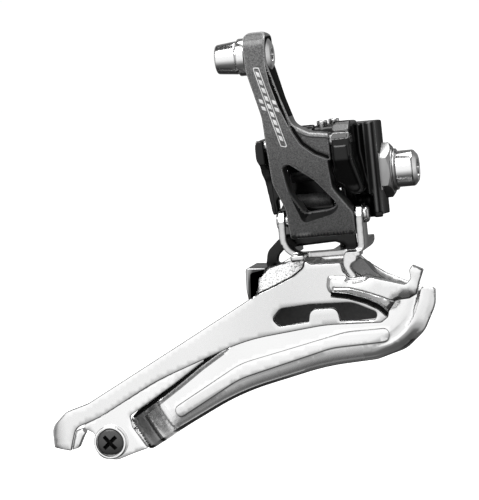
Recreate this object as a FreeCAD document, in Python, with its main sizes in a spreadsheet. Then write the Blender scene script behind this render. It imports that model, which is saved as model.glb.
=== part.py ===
import FreeCAD, Part
import math
import os

import Sketcher
from FreeCAD import Placement, Rotation, Vector

# Braze-on front derailleur, in millimetres.
# Origin: on the mounting bolt's axis, behind the bottom of the concave seat by seat_valley.
# +X is forward along the mounting bolt, +Y is inboard, +Z is up along the seat tube.
# The cage hangs on two parallel links that swing in the YZ plane on pins that lie along X.

DRIVING_SIZES = [
    ("link_length", 19.5, "pivot to pivot, both links"),
    ("rest_tilt", 12.0, "degrees that the links lean inboard at rest"),
    ("outer_pivot_y", -12.5, "outer link's upper pivot"),
    ("outer_pivot_z", 9.3, "outer link's upper pivot"),
    ("pivot_gap_y", 9.0, "from an outer pivot to the inner pivot beside it"),
    ("pivot_gap_z", 1.8, "from an outer pivot to the inner pivot beside it"),
    ("outer_pin_radius", 1.5, "pins of the outer link"),
    ("inner_pin_radius", 1.2, "pins of the inner link"),
    ("running_gap", 0.05, "radial clearance of a turning fit"),
    ("bush_radius", 2.3, "outside of the outer link's bushes"),
    ("bush_length", 4.0, "each bush"),
    ("seat_radius", 14.0, "concave seat against the frame's tab"),
    ("seat_valley", 3.3, "bottom of the seat's curve, on the bolt's axis"),
    ("seat_bottom", -11.2, "lower end of the seat"),
    ("seat_height", 23.7, "height of the seat"),
    ("bolt_radius", 2.5, "M5 mounting bolt"),
    ("bolt_head_radius", 4.55, "head of the mounting bolt"),
    ("bolt_head_length", 5.2, "head of the mounting bolt"),
    ("washer_back", 4.7, "back of the radius washer's hexagon"),
    ("hex_flats", 12.0, "radius washer across its flats"),
    ("hex_thickness", 2.4, "radius washer"),
    ("clamp_y", -13.0, "cable clamp axis"),
    ("clamp_z", 31.7, "cable clamp axis"),
    ("clamp_bolt_radius", 2.5, "M5 cable bolt"),
    ("clamp_head_radius", 4.3, "cable bolt's head"),
    ("clamp_washer_radius", 4.6, "cable washer"),
    ("arm_rear", -25.2, "rear end of the arm's eye"),
    ("arm_front", -18.9, "front end of the arm's eye"),
    ("limit_radius", 1.25, "M2.5 limit screws"),
    ("limit_top", 12.9, "top of the limit screws' boss"),
    ("plate_thickness", 1.4, "outer cage plate"),
    ("outer_plate_y", -17.6, "near face of the outer cage plate"),
    ("inner_plate_y", -5.0, "chain side of the inner cage plate"),
    ("inner_thickness", 1.2, "inner cage plate"),
    ("bracket_thickness", 1.8, "ears of the cage bracket"),
    ("rear_ear_x", -21.3, "rear face of the cage bracket"),
    ("front_ear_x", 0.1, "front face of the cage bracket"),
    ("floor_top", -17.8, "top of the cage bracket's floor"),
    ("tail_x", -68.7, "tail screw"),
    ("tail_z", -61.1, "tail screw"),
    ("tail_boss_radius", 4.4, "ring around the tail screw's head"),
    ("tail_head_radius", 3.55, "tail screw's head"),
    ("spring_wire", 0.35, "radius of the spring's wire"),
    ("spring_coil", 1.95, "radius of the spring's coil"),
    ("barrel_radius", 2.9, "outside of the spring barrel"),
]

FAR = 400.0
CUT_LENGTH = 120.0

doc = FreeCAD.newDocument("front_derailleur")
sheet = doc.addObject("Spreadsheet::Sheet", "Sizes")
for row, (alias, value, note) in enumerate(DRIVING_SIZES, start=1):
    sheet.set("A%d" % row, note)
    sheet.set("B%d" % row, str(value))
    sheet.setAlias("B%d" % row, alias)
doc.recompute()

# Pivot positions as expressions of the sheet's cells.
LEAN_Y = "Sizes.link_length * sin(Sizes.rest_tilt)"
LEAN_Z = "Sizes.link_length * cos(Sizes.rest_tilt)"
OUTER_UPPER = ("Sizes.outer_pivot_y", "Sizes.outer_pivot_z")
OUTER_LOWER = ("Sizes.outer_pivot_y + " + LEAN_Y, "Sizes.outer_pivot_z - " + LEAN_Z)
INNER_UPPER = (OUTER_UPPER[0] + " + Sizes.pivot_gap_y", OUTER_UPPER[1] + " + Sizes.pivot_gap_z")
INNER_LOWER = (OUTER_LOWER[0] + " + Sizes.pivot_gap_y", OUTER_LOWER[1] + " + Sizes.pivot_gap_z")


def number(expression):
    """Value of an expression of the sheet's cells."""
    result = sheet.evalExpression(str(expression))
    return float(getattr(result, "Value", result))


def point_of(pivot):
    """(y, z) of a pivot given as a pair of expressions."""
    return number(pivot[0]), number(pivot[1])


def new_body(label):
    body = doc.addObject("PartDesign::Body", label)
    body.Label = label
    return body


def new_sketch(body, plane_role, offset="0", centre=("0", "0")):
    """Empty sketch on one of the body's own planes, moved along its normal and in its plane."""
    sketch = body.newObject("Sketcher::SketchObject", body.Label + "_sketch")
    plane = next(item for item in body.Origin.OriginFeatures if item.Role == plane_role)
    sketch.AttachmentSupport = [(plane, "")]
    sketch.MapMode = "FlatFace"
    sketch.setExpression("AttachmentOffset.Base.z", str(offset))
    sketch.setExpression("AttachmentOffset.Base.x", str(centre[0]))
    sketch.setExpression("AttachmentOffset.Base.y", str(centre[1]))
    return sketch


def add_circle(sketch, radius):
    """Circle at the sketch's own origin, its radius bound to the sheet."""
    index = sketch.addGeometry(Part.Circle(Vector(0, 0, 0), Vector(0, 0, 1), number(radius)), False)
    sketch.addConstraint(Sketcher.Constraint("Coincident", index, 3, -1, 1))
    constraint = sketch.addConstraint(Sketcher.Constraint("Radius", index, number(radius)))
    sketch.setExpression("Constraints[%d]" % constraint, str(radius))


def corner_arc(before, corner, after, radius):
    """Arc tangent to both sides of a corner: its two ends and the arc itself."""
    towards = (before - corner).normalize()
    away = (after - corner).normalize()
    half_angle = math.acos(max(-1.0, min(1.0, towards.dot(away)))) / 2
    reach = radius / math.tan(half_angle)
    start = corner + towards * reach
    end = corner + away * reach
    centre = corner + (towards + away).normalize() * (radius / math.sin(half_angle))
    turns_left = (corner - before).cross(after - corner).z > 0
    first, last = (start, end) if turns_left else (end, start)
    angles = [math.atan2(p.y - centre.y, p.x - centre.x) for p in (first, last)]
    circle = Part.Circle(centre, Vector(0, 0, 1), radius)
    return start, end, Part.ArcOfCircle(circle, angles[0], angles[1])


def add_outline(sketch, corners):
    """Closed outline through corners (x, y) or (x, y, rounding radius)."""
    points = [Vector(c[0], c[1], 0) for c in corners]
    radii = [c[2] if len(c) > 2 else 0.0 for c in corners]
    count = len(points)
    ends = []
    for i, point in enumerate(points):
        if radii[i] == 0:
            ends.append((point, point))
            continue
        start, end, arc = corner_arc(points[i - 1], point, points[(i + 1) % count], radii[i])
        sketch.addGeometry(arc, False)
        ends.append((start, end))
    for i in range(count):
        leave, arrive = ends[i][1], ends[(i + 1) % count][0]
        if leave.distanceToPoint(arrive) > 1e-6:
            sketch.addGeometry(Part.LineSegment(leave, arrive), False)


def extrude(body, sketch, length):
    """Pad along the sketch's normal."""
    pad = body.newObject("PartDesign::Pad", body.Label + "_pad")
    pad.Profile = sketch
    pad.setExpression("Length", str(length))
    doc.recompute()
    return pad


def cut(body, sketch, length=CUT_LENGTH, both_ways=True):
    """Pocket both ways from the sketch, or against its normal, and make sure that it removed something."""
    before = body.Shape.Volume
    pocket = body.newObject("PartDesign::Pocket", body.Label + "_pocket")
    pocket.Profile = sketch
    pocket.setExpression("Length", str(length))
    if both_ways:
        pocket.SideType = "Symmetric"
    doc.recompute()
    if body.Shape.Volume > before - 0.01:
        raise RuntimeError("%s cuts nothing" % pocket.Name)
    return pocket


def slab_xz(body, corners, y_low, y_high):
    """Solid between two Y values with an outline in X and Z."""
    sketch = new_sketch(body, "XZ_Plane", "-(%s)" % y_high)
    add_outline(sketch, corners)
    extrude(body, sketch, "(%s) - (%s)" % (y_high, y_low))


def slab_yz(body, corners, x_low, x_high):
    """Solid between two X values with an outline in Y and Z."""
    sketch = new_sketch(body, "YZ_Plane", x_low)
    add_outline(sketch, corners)
    extrude(body, sketch, "(%s) - (%s)" % (x_high, x_low))


def cut_xz(body, corners, y_low=None, y_high=None):
    """Cut an outline in X and Z, right through or between two Y values."""
    through = y_low is None
    sketch = new_sketch(body, "XZ_Plane", "0" if through else "-(%s)" % y_low)
    add_outline(sketch, corners)
    cut(body, sketch, CUT_LENGTH if through else "(%s) - (%s)" % (y_high, y_low), through)


def cut_yz(body, corners, x_low=None, x_high=None):
    """Cut an outline in Y and Z, right through or between two X values."""
    through = x_low is None
    sketch = new_sketch(body, "YZ_Plane", "0" if through else x_high)
    add_outline(sketch, corners)
    cut(body, sketch, CUT_LENGTH if through else "(%s) - (%s)" % (x_high, x_low), through)


def rod_x(body, pivot, radius, x_low, x_high):
    """Round bar along X."""
    sketch = new_sketch(body, "YZ_Plane", x_low, pivot)
    add_circle(sketch, radius)
    extrude(body, sketch, "(%s) - (%s)" % (x_high, x_low))


def bore_x(body, pivot, radius, x_low=None, x_high=None):
    """Round hole along X, right through or between two X values."""
    through = x_low is None
    sketch = new_sketch(body, "YZ_Plane", "0" if through else x_high, pivot)
    add_circle(sketch, radius)
    cut(body, sketch, CUT_LENGTH if through else "(%s) - (%s)" % (x_high, x_low), through)


def turned(label, profile, centre, axis=Vector(1, 0, 0)):
    """Turned piece: a closed profile of (distance along the axis, radius), spun about the axis.

    centre is three expressions for the place of the profile's zero.
    """
    body = new_body(label)
    sketch = new_sketch(body, "XZ_Plane")
    add_outline(sketch, profile)
    spin = body.newObject("PartDesign::Revolution", label + "_turned")
    spin.Profile = sketch
    spin.ReferenceAxis = (sketch, ["H_Axis"])
    spin.Angle = 360.0
    body.Placement = Placement(Vector(0, 0, 0), Rotation(Vector(1, 0, 0), axis))
    for letter, expression in zip("xyz", centre):
        body.setExpression("Placement.Base." + letter, str(expression))
    doc.recompute()
    return body


def regular_polygon(flats, sides, turn=0.0):
    """Corners of a regular polygon by its size across flats."""
    radius = flats / 2 / math.cos(math.pi / sides)
    steps = [2 * math.pi * i / sides + turn for i in range(sides)]
    return [(radius * math.cos(step), radius * math.sin(step)) for step in steps]


def rounded_bar(first, second, radius_first, radius_second):
    """Outline of a bar around two centres, with a round end on each."""
    a = Vector(first[0], first[1], 0)
    b = Vector(second[0], second[1], 0)
    along = (b - a).normalize()
    side = Vector(-along.y, along.x, 0)
    corners = []
    for centre, radius, sign in ((a, radius_first, -1), (b, radius_second, 1)):
        back = centre + along * radius * sign
        pair = [back + side * radius * sign, back - side * radius * sign]
        corners += [(p.x, p.y, radius * 0.98) for p in pair]
    return corners


# ---------------------------------------------------------------- frame side


def build_mount_body():
    """Forged bracket: concave seat, front ear, rear cheek, back wall and limit-screw boss."""
    body = new_body("mount_body")
    radius = number("Sizes.seat_radius")
    centre_x = number("Sizes.seat_valley") + radius
    near_y, far_y = -5.5, 5.6
    near_x = centre_x - math.sqrt(radius ** 2 - near_y ** 2)
    far_x = centre_x - math.sqrt(radius ** 2 - far_y ** 2)
    back_x, waist_x, step_y = -5.5, -2.3, -3.0

    footprint = new_sketch(body, "XY_Plane", "Sizes.seat_bottom")
    rear_side = [(far_x, far_y), (far_x - 2.2, far_y + 0.9), (back_x, 7.0), (back_x, step_y)]
    near_side = [(waist_x, step_y), (waist_x, near_y + 0.9), (0.9, near_y + 0.5), (1.1, near_y), (near_x, near_y)]
    corners = [Vector(x, y, 0) for x, y in rear_side + near_side]
    for start, end in zip(corners, corners[1:]):
        footprint.addGeometry(Part.LineSegment(start, end), False)
    seat_circle = Part.Circle(Vector(centre_x, 0, 0), Vector(0, 0, 1), radius)
    far_angle = math.pi - math.asin(far_y / radius)
    near_angle = math.pi + math.asin(-near_y / radius)
    footprint.addGeometry(Part.ArcOfCircle(seat_circle, far_angle, near_angle), False)
    extrude(body, footprint, "Sizes.seat_height")

    # Front ear: a facet on top, a short band below it, and a rounded lobe under the pin.
    ear = [(-2.5, 13.4), (-11.6, 13.9, 1.0), (-15.4, 11.3, 0.6), (-16.2, 9.6, 0.6), (-16.2, 4.5, 3.0),
           (-12.5, -2.2, 3.0), (-5.4, -2.6, 0.5), (-2.5, -2.6)]
    slab_yz(body, ear, -5.0, -0.6)
    # The ear's lower end leans forward to the seat.
    lobe = [(-5.0, 8.0), (-1.0, 8.0), (1.1, -4.4, 0.6), (-1.6, -4.4, 1.0), (-5.0, -1.0, 1.0)]
    slab_xz(body, lobe, -12.6, -3.2)
    # Boss for the limit screws, which also holds the inner pin's front end.
    boss = [(-7.8, 12.9, 1.0), (-7.8, 6.2, 1.0), (2.6, 6.2), (2.6, 12.9, 1.0)]
    slab_yz(body, boss, -10.8, -4.8)
    # Back wall, inboard of the inner link.
    wall = [(-24.6, 2.0, 1.0), (-4.0, 2.0), (-4.0, 9.2), (-24.6, 9.2, 1.0)]
    slab_xz(body, wall, 1.6, 3.6)
    # Rear cheek, whose lower end tapers down beside the links.
    cheek = [(-22.05, 10.9, 0.4), (-24.3, 10.9, 1.2), (-25.4, 9.2, 1.5), (-25.3, 6.0, 2.0), (-24.2, 0.8, 3.0),
             (-22.95, -8.3, 0.4), (-22.05, -8.3, 0.4)]
    slab_xz(body, cheek, -15.4, 3.6)
    lug = [(-6.2, 12.0, 1.5), (-6.2, 6.0), (1.6, 6.0), (1.6, 12.0)]
    slab_yz(body, lug, -22.6, -19.6)
    rod_x(body, INNER_UPPER, 2.2, -22.6, -19.6)
    # The cheek is deep at the pin and shallow below it.
    cut_yz(body, [(-20.0, 4.6), (-9.5, 4.6, 2.0), (-8.2, 0.0), (-8.2, -12.0), (-20.0, -12.0)], -30.0, -21.0)
    cut_yz(body, [(5.0, 1.6), (-3.4, 1.6, 2.0), (-4.0, -12.0), (5.0, -12.0)], -30.0, -21.0)
    # Notch under the seat's near rim for the cage bracket's front ear and rivet.
    cut_xz(body, [(-8.0, -5.5), (1.9, -5.5, 0.5), (1.9, -20.0), (-8.0, -20.0)], -10.0, -3.4)

    bore_x(body, OUTER_UPPER, "Sizes.outer_pin_radius", -24.5, 0.0)
    bore_x(body, INNER_UPPER, "Sizes.inner_pin_radius", -22.0, -5.8)
    bore_x(body, ("0", "0"), "Sizes.bolt_radius", -9.0, 6.0)
    for x, y in LIMIT_PLACES:
        hole = new_sketch(body, "XY_Plane", "Sizes.limit_top + 1", (str(x), str(y)))
        add_circle(hole, "Sizes.limit_radius + Sizes.running_gap")
        cut(body, hole, 9.0, False)
    return body


LIMIT_PLACES = [(-8.6, -6.2), (-6.6, -0.8)]


def build_pin(label, pivot, radius, x_low, x_high):
    """Plain steel pin with chamfered ends."""
    size = number(radius)
    bevel = 0.2
    profile = [(x_low, 0), (x_high, 0), (x_high, size - bevel), (x_high - bevel, size), (x_low + bevel, size),
               (x_low, size - bevel)]
    return turned(label, profile, ("0",) + pivot)


def build_headed_pin(label, pivot, radius, head_radius):
    """Pin through the cage bracket's ears, peened to a domed head at each end."""
    size = number(radius)
    rear = number("Sizes.rear_ear_x")
    front = number("Sizes.front_ear_x")
    rear_head, front_head = 0.6, 1.3
    profile = [(rear - rear_head, 0), (front + front_head, 0), (front + front_head, head_radius, 0.9),
               (front, head_radius), (front, size), (rear, size), (rear, head_radius),
               (rear - rear_head, head_radius, 0.4)]
    return turned(label, profile, ("0",) + pivot)


def build_inner_lower_pin():
    """Short pin from the rear ear to the cage bracket's inner lug, the linkage's open pivot."""
    size = number("Sizes.inner_pin_radius")
    rear = number("Sizes.rear_ear_x")
    profile = [(rear - 0.5, 0), (-6.2, 0), (-6.2, size - 0.2), (-6.4, size), (rear, size), (rear, size + 0.6),
               (rear - 0.5, size + 0.6, 0.35)]
    return turned("inner_lower_pin", profile, ("0",) + INNER_LOWER)


def build_mounting_bolt():
    """M5 bolt with a domed head and a hexagon socket."""
    shank = number("Sizes.bolt_radius")
    head = number("Sizes.bolt_head_radius")
    under = number("Sizes.washer_back + Sizes.hex_thickness") + 1.0
    end = under + number("Sizes.bolt_head_length")
    profile = [(-5.5, 0), (end, 0), (end, head - 1.2, 0.5), (end - 1.0, head, 0.8), (under, head), (under, shank),
               (-5.0, shank), (-5.5, shank - 0.5)]
    bolt = turned("mounting_bolt", profile, ("0", "0", "0"))
    socket = new_sketch(bolt, "YZ_Plane", end)
    add_outline(socket, regular_polygon(4.0, 6))
    cut(bolt, socket, 3.0, False)
    return bolt


def build_radius_washer():
    """Hexagonal washer with a round collar, and a curved back that fits the seat."""
    body = new_body("radius_washer")
    back = number("Sizes.washer_back")
    thickness = number("Sizes.hex_thickness")
    sketch = new_sketch(body, "YZ_Plane", "Sizes.washer_back")
    add_outline(sketch, regular_polygon(number("Sizes.hex_flats"), 6, math.pi / 2))
    extrude(body, sketch, "Sizes.hex_thickness")
    # Curved back, just clear of the seat.
    fit = 0.06
    radius = number("Sizes.seat_radius") - fit
    centre_x = number("Sizes.seat_valley + Sizes.seat_radius")
    half_width, half_height = 5.2, 4.5
    edge_x = centre_x - math.sqrt(radius ** 2 - half_width ** 2)
    curved = new_sketch(body, "XY_Plane", -half_height)
    corners = [(edge_x, -half_width), (back + 0.1, -half_width), (back + 0.1, half_width), (edge_x, half_width)]
    points = [Vector(x, y, 0) for x, y in corners]
    for start, end in zip(points, points[1:]):
        curved.addGeometry(Part.LineSegment(start, end), False)
    angle = math.asin(half_width / radius)
    curve = Part.Circle(Vector(centre_x, 0, 0), Vector(0, 0, 1), radius)
    curved.addGeometry(Part.ArcOfCircle(curve, math.pi - angle, math.pi + angle), False)
    extrude(body, curved, 2 * half_height)
    rod_x(body, ("0", "0"), 5.4, back + thickness - 0.2, back + thickness + 0.3)
    bore_x(body, ("0", "0"), "Sizes.bolt_radius + 0.2")
    # Bevel on the corners of both faces.
    outer = 7.6
    bevel = new_sketch(body, "XZ_Plane")
    add_outline(bevel, [(back + thickness - 0.9, 7.0), (back + thickness, 5.9), (back + thickness, outer),
                        (back + thickness - 0.9, outer)])
    groove = body.newObject("PartDesign::Groove", "radius_washer_bevel")
    groove.Profile = bevel
    groove.ReferenceAxis = (bevel, ["H_Axis"])
    groove.Angle = 360.0
    doc.recompute()
    return body


def build_bolt_washer():
    """Plain ring between the radius washer and the bolt's head."""
    start = number("Sizes.washer_back + Sizes.hex_thickness") + 0.3
    bore = number("Sizes.bolt_radius") + 0.2
    profile = [(start, bore), (start + 0.7, bore), (start + 0.7, 5.2, 0.25), (start, 5.2, 0.25)]
    return turned("bolt_washer", profile, ("0", "0", "0"))


def build_limit_screw(label, place):
    """Socket-headed M2.5 screw, standing on its end above the boss."""
    size = number("Sizes.limit_radius")
    top = 1.2
    profile = [(-7.0, 0), (top, 0), (top, size + 0.1, 0.3), (0.25, size + 0.1), (0.25, size), (-6.5, size),
               (-7.0, size - 0.5)]
    centre = (str(place[0]), str(place[1]), "Sizes.limit_top")
    screw = turned(label, profile, centre, Vector(0, 0, 1))
    socket = new_sketch(screw, "YZ_Plane", top)
    add_outline(socket, regular_polygon(1.3, 6))
    cut(screw, socket, 1.0, False)
    return screw


# ---------------------------------------------------------------- links


def build_outer_link():
    """Outer link with the cable arm on top of it: a deep face with a window, hubs and an eye."""
    body = new_body("outer_link")
    face = [(-24.2, 35.2, 2.0), (-24.1, 28.5, 8.0), (-21.5, 16.5, 10.0), (-21.1, 0.0, 6.0), (-18.7, -6.6, 3.0),
            (-18.5, -18.0), (-1.95, -18.0), (-1.95, -8.8, 2.0), (-4.5, -5.0, 2.0), (-6.3, -2.3, 3.0),
            (-6.6, 4.6, 0.3), (-5.9, 4.8, 0.3), (-5.7, 11.0, 0.4), (-12.6, 12.4, 4.0), (-16.0, 16.5, 8.0),
            (-18.9, 27.0, 12.0), (-18.9, 37.6, 1.2), (-24.0, 37.6, 1.5)]
    slab_xz(body, face, -20.0, 0.0)
    upper_y, upper_z = point_of(OUTER_UPPER)
    lower_y, lower_z = point_of(OUTER_LOWER)
    eye_y = number("Sizes.clamp_y")
    eye_z = number("Sizes.clamp_z")
    near_reach, inner_reach, eye_reach, end_reach = 4.0, 3.2, 5.0, 4.5
    near_side = [(-FAR, eye_z + FAR), (eye_y, eye_z + 5.9), (eye_y - eye_reach, eye_z + 4.6, 4.0),
                 (eye_y - eye_reach, eye_z - 4.0, 6.0), (upper_y - near_reach, upper_z + 3.0, 12.0),
                 (lower_y - near_reach, lower_z, 2.0), (lower_y - near_reach + 0.9, lower_z - end_reach, 2.0),
                 (lower_y, lower_z - end_reach - 0.4), (lower_y, -FAR), (-FAR, -FAR)]
    inner_side = [(FAR, eye_z + FAR), (eye_y, eye_z + 5.9), (eye_y + eye_reach, eye_z + 4.6, 4.0),
                  (eye_y + eye_reach, eye_z - 4.0, 4.0), (upper_y + inner_reach, eye_z - 11.0, 6.0),
                  (upper_y + inner_reach, upper_z, 6.0), (lower_y + inner_reach + 0.6, lower_z + 1.0, 2.0),
                  (lower_y + 2.4, lower_z - end_reach + 0.6, 1.0), (lower_y, lower_z - end_reach - 0.4),
                  (lower_y, -FAR), (FAR, -FAR)]
    cut_yz(body, near_side)
    cut_yz(body, inner_side)

    # The window, with a rounded upper rear corner.
    window = [(-18.1, 3.9, 1.2), (-16.2, 4.4, 1.0), (-10.6, 0.6, 6.0), (-5.6, -6.4, 1.6), (-8.2, -8.0, 1.5),
              (-14.6, -8.4, 1.2), (-16.8, -4.6, 4.0)]
    cut_xz(body, window)
    # Sunk pocket beside the arm's foot.
    pocket = [(-13.4, 11.3, 0.6), (-6.5, 10.2, 0.4), (-6.7, 6.2, 0.4), (-10.2, 7.0, 2.0)]
    cut_xz(body, pocket, -18.0, -15.8)
    # Space behind the face, between its two hubs, where the inner link swings.
    hollow = [(-9.6, 5.0, 1.0), (-2.0, 5.0), (-2.0, -5.2), (-6.6, -5.0, 1.0)]
    cut_yz(body, hollow, -18.6, -7.4)
    # Relief on the rear edge, past which the cage bracket's rear ear swings.
    cut_xz(body, [(-24.0, -1.6), (-19.2, -1.6), (-19.2, -7.0), (-24.0, -7.0)], -9.5, 0.0)

    bore_x(body, OUTER_UPPER, "Sizes.bush_radius", -22.0, 0.0)
    bore_x(body, OUTER_LOWER, "Sizes.bush_radius", -22.0, 2.0)
    clamp = ("Sizes.clamp_y", "Sizes.clamp_z")
    bore_x(body, clamp, "Sizes.clamp_bolt_radius", -30.0, -10.0)
    bore_x(body, clamp, "Sizes.clamp_head_radius + 0.1", "Sizes.arm_front - 1.2", -10.0)
    return body


def build_bush(label, pivot, start):
    """Plastic bush in the outer link, turning on the pin."""
    outer = number("Sizes.bush_radius")
    inner = number("Sizes.outer_pin_radius + Sizes.running_gap")
    length = number("Sizes.bush_length")
    profile = [(0, inner), (length, inner), (length, outer), (0, outer)]
    return turned(label, profile, (str(start),) + pivot)


def build_inner_link():
    """Inner link: a flat arm between an upper knuckle and the barrel around the spring."""
    body = new_body("inner_link")
    upper = point_of(INNER_UPPER)
    lower = point_of(INNER_LOWER)
    slab_yz(body, rounded_bar(upper, lower, 1.6, 1.6), -19.2, -8.4)
    # The middle of the arm is wider, up to the mount body.
    along = [(upper[0] + (lower[0] - upper[0]) * share, upper[1] + (lower[1] - upper[1]) * share)
             for share in (0.5, 0.68)]
    slab_yz(body, rounded_bar(along[0], along[1], 1.6, 1.6), -9.0, -6.4)
    rod_x(body, INNER_UPPER, 2.1, -19.2, -11.2)
    rod_x(body, INNER_LOWER, "Sizes.barrel_radius", -19.2, -8.4)
    # The arm is narrow beside the limit screws' boss and wide below it.
    cut_xz(body, [(-11.2, 20.0), (-11.2, 3.0, 1.0), (-5.0, 3.0), (-5.0, 20.0)])
    bore_x(body, INNER_UPPER, "Sizes.inner_pin_radius + Sizes.running_gap")
    bore_x(body, INNER_LOWER, "Sizes.inner_pin_radius + 2 * Sizes.running_gap", -12.0, -5.0)
    bore_x(body, INNER_LOWER, "Sizes.spring_coil + Sizes.spring_wire + 0.15", -22.0, -10.4)
    # Hole for the spring's front end.
    front_end = (INNER_LOWER[0], INNER_LOWER[1] + " - Sizes.spring_coil")
    bore_x(body, front_end, "Sizes.spring_wire + 0.1", -12.0, -5.0)
    return body


def build_spring_sleeve():
    """Plastic tube between the spring's coil and the pin."""
    inner = number("Sizes.inner_pin_radius") + 0.05
    profile = [(-19.0, inner), (-10.5, inner), (-10.5, inner + 0.25), (-19.0, inner + 0.25)]
    return turned("spring_sleeve", profile, ("0",) + INNER_LOWER)


def build_torsion_spring():
    """Coiled return spring: the rear end sits in the cage bracket, the front end in the barrel."""
    wire = number("Sizes.spring_wire")
    coil = number("Sizes.spring_coil")
    y, z = point_of(INNER_LOWER)
    rear, front = -18.6, -11.1
    turns = 8
    helix = Part.makeHelix((front - rear) / turns, front - rear, coil)
    section = Part.Wire(Part.makeCircle(wire, Vector(coil, 0, 0), Vector(0, 1, 0)))
    coil_solid = Part.Wire(helix).makePipeShell([section], True, True)
    # Lay the helix along X with its ends at the bottom, then add the two straight ends.
    coil_solid.Placement = Placement(Vector(rear, y, z), Rotation(Vector(0, 0, 1), Vector(1, 0, 0)))
    ends = []
    for x, length, way in ((rear, 2.2, -1), (front, 2.0, 1)):
        joint = Part.makeSphere(wire, Vector(x, y, z))
        straight = Part.makeCylinder(wire, length, Vector(x, y, z), Vector(way, 0, 0))
        ends += [joint, straight]
    start = coil_solid.Placement.multVec(Vector(coil, 0, 0)) - Vector(rear, y, z)
    for piece in ends:
        piece.translate(start)
    spring = doc.addObject("Part::Feature", "torsion_spring")
    spring.Label = "torsion_spring"
    spring.Shape = coil_solid.multiFuse(ends).removeSplitter()
    spring.Placement = Placement()
    return spring


def build_cable_bolt():
    """Cable bolt: a domed head sunk in the arm and a threaded shank out to the nut."""
    shank = number("Sizes.clamp_bolt_radius")
    head = number("Sizes.clamp_head_radius")
    seat = number("Sizes.arm_front") - 1.2
    profile = [(-31.2, 0), (seat + 2.2, 0), (seat + 2.2, head - 1.4, 0.8), (seat + 1.3, head, 0.6), (seat, head),
               (seat, shank), (-31.0, shank), (-31.2, shank - 0.2)]
    bolt = turned("cable_bolt", profile, ("0", "Sizes.clamp_y", "Sizes.clamp_z"))
    socket = new_sketch(bolt, "YZ_Plane", seat + 2.2)
    add_outline(socket, regular_polygon(3.0, 6))
    cut(bolt, socket, 1.4, False)
    return bolt


def build_cable_washer():
    """Grooved washer that the cable is clamped under."""
    rear = number("Sizes.arm_rear")
    bore = number("Sizes.clamp_bolt_radius")
    outer = number("Sizes.clamp_washer_radius")
    profile = [(rear - 1.1, bore), (rear + 0.8, bore), (rear + 0.8, outer), (rear - 1.1, outer, 0.3)]
    washer = turned("cable_washer", profile, ("0", "Sizes.clamp_y", "Sizes.clamp_z"))
    groove = new_sketch(washer, "XZ_Plane", "-2", (str(rear - 1.1), "-3.2"))
    add_circle(groove, 0.6)
    cut(washer, groove, 20.0)
    return washer


def build_cable_nut():
    """Tapered round nut with an open socket in its rear end."""
    rear, front = -31.9, number("Sizes.arm_rear") - 1.1
    bore = number("Sizes.clamp_bolt_radius")
    profile = [(rear, bore), (front, bore), (front, 3.6), (front - 0.5, 4.1), (rear + 0.3, 3.6), (rear, 3.3)]
    return turned("cable_nut", profile, ("0", "Sizes.clamp_y", "Sizes.clamp_z"))


# ---------------------------------------------------------------- cage


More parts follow.
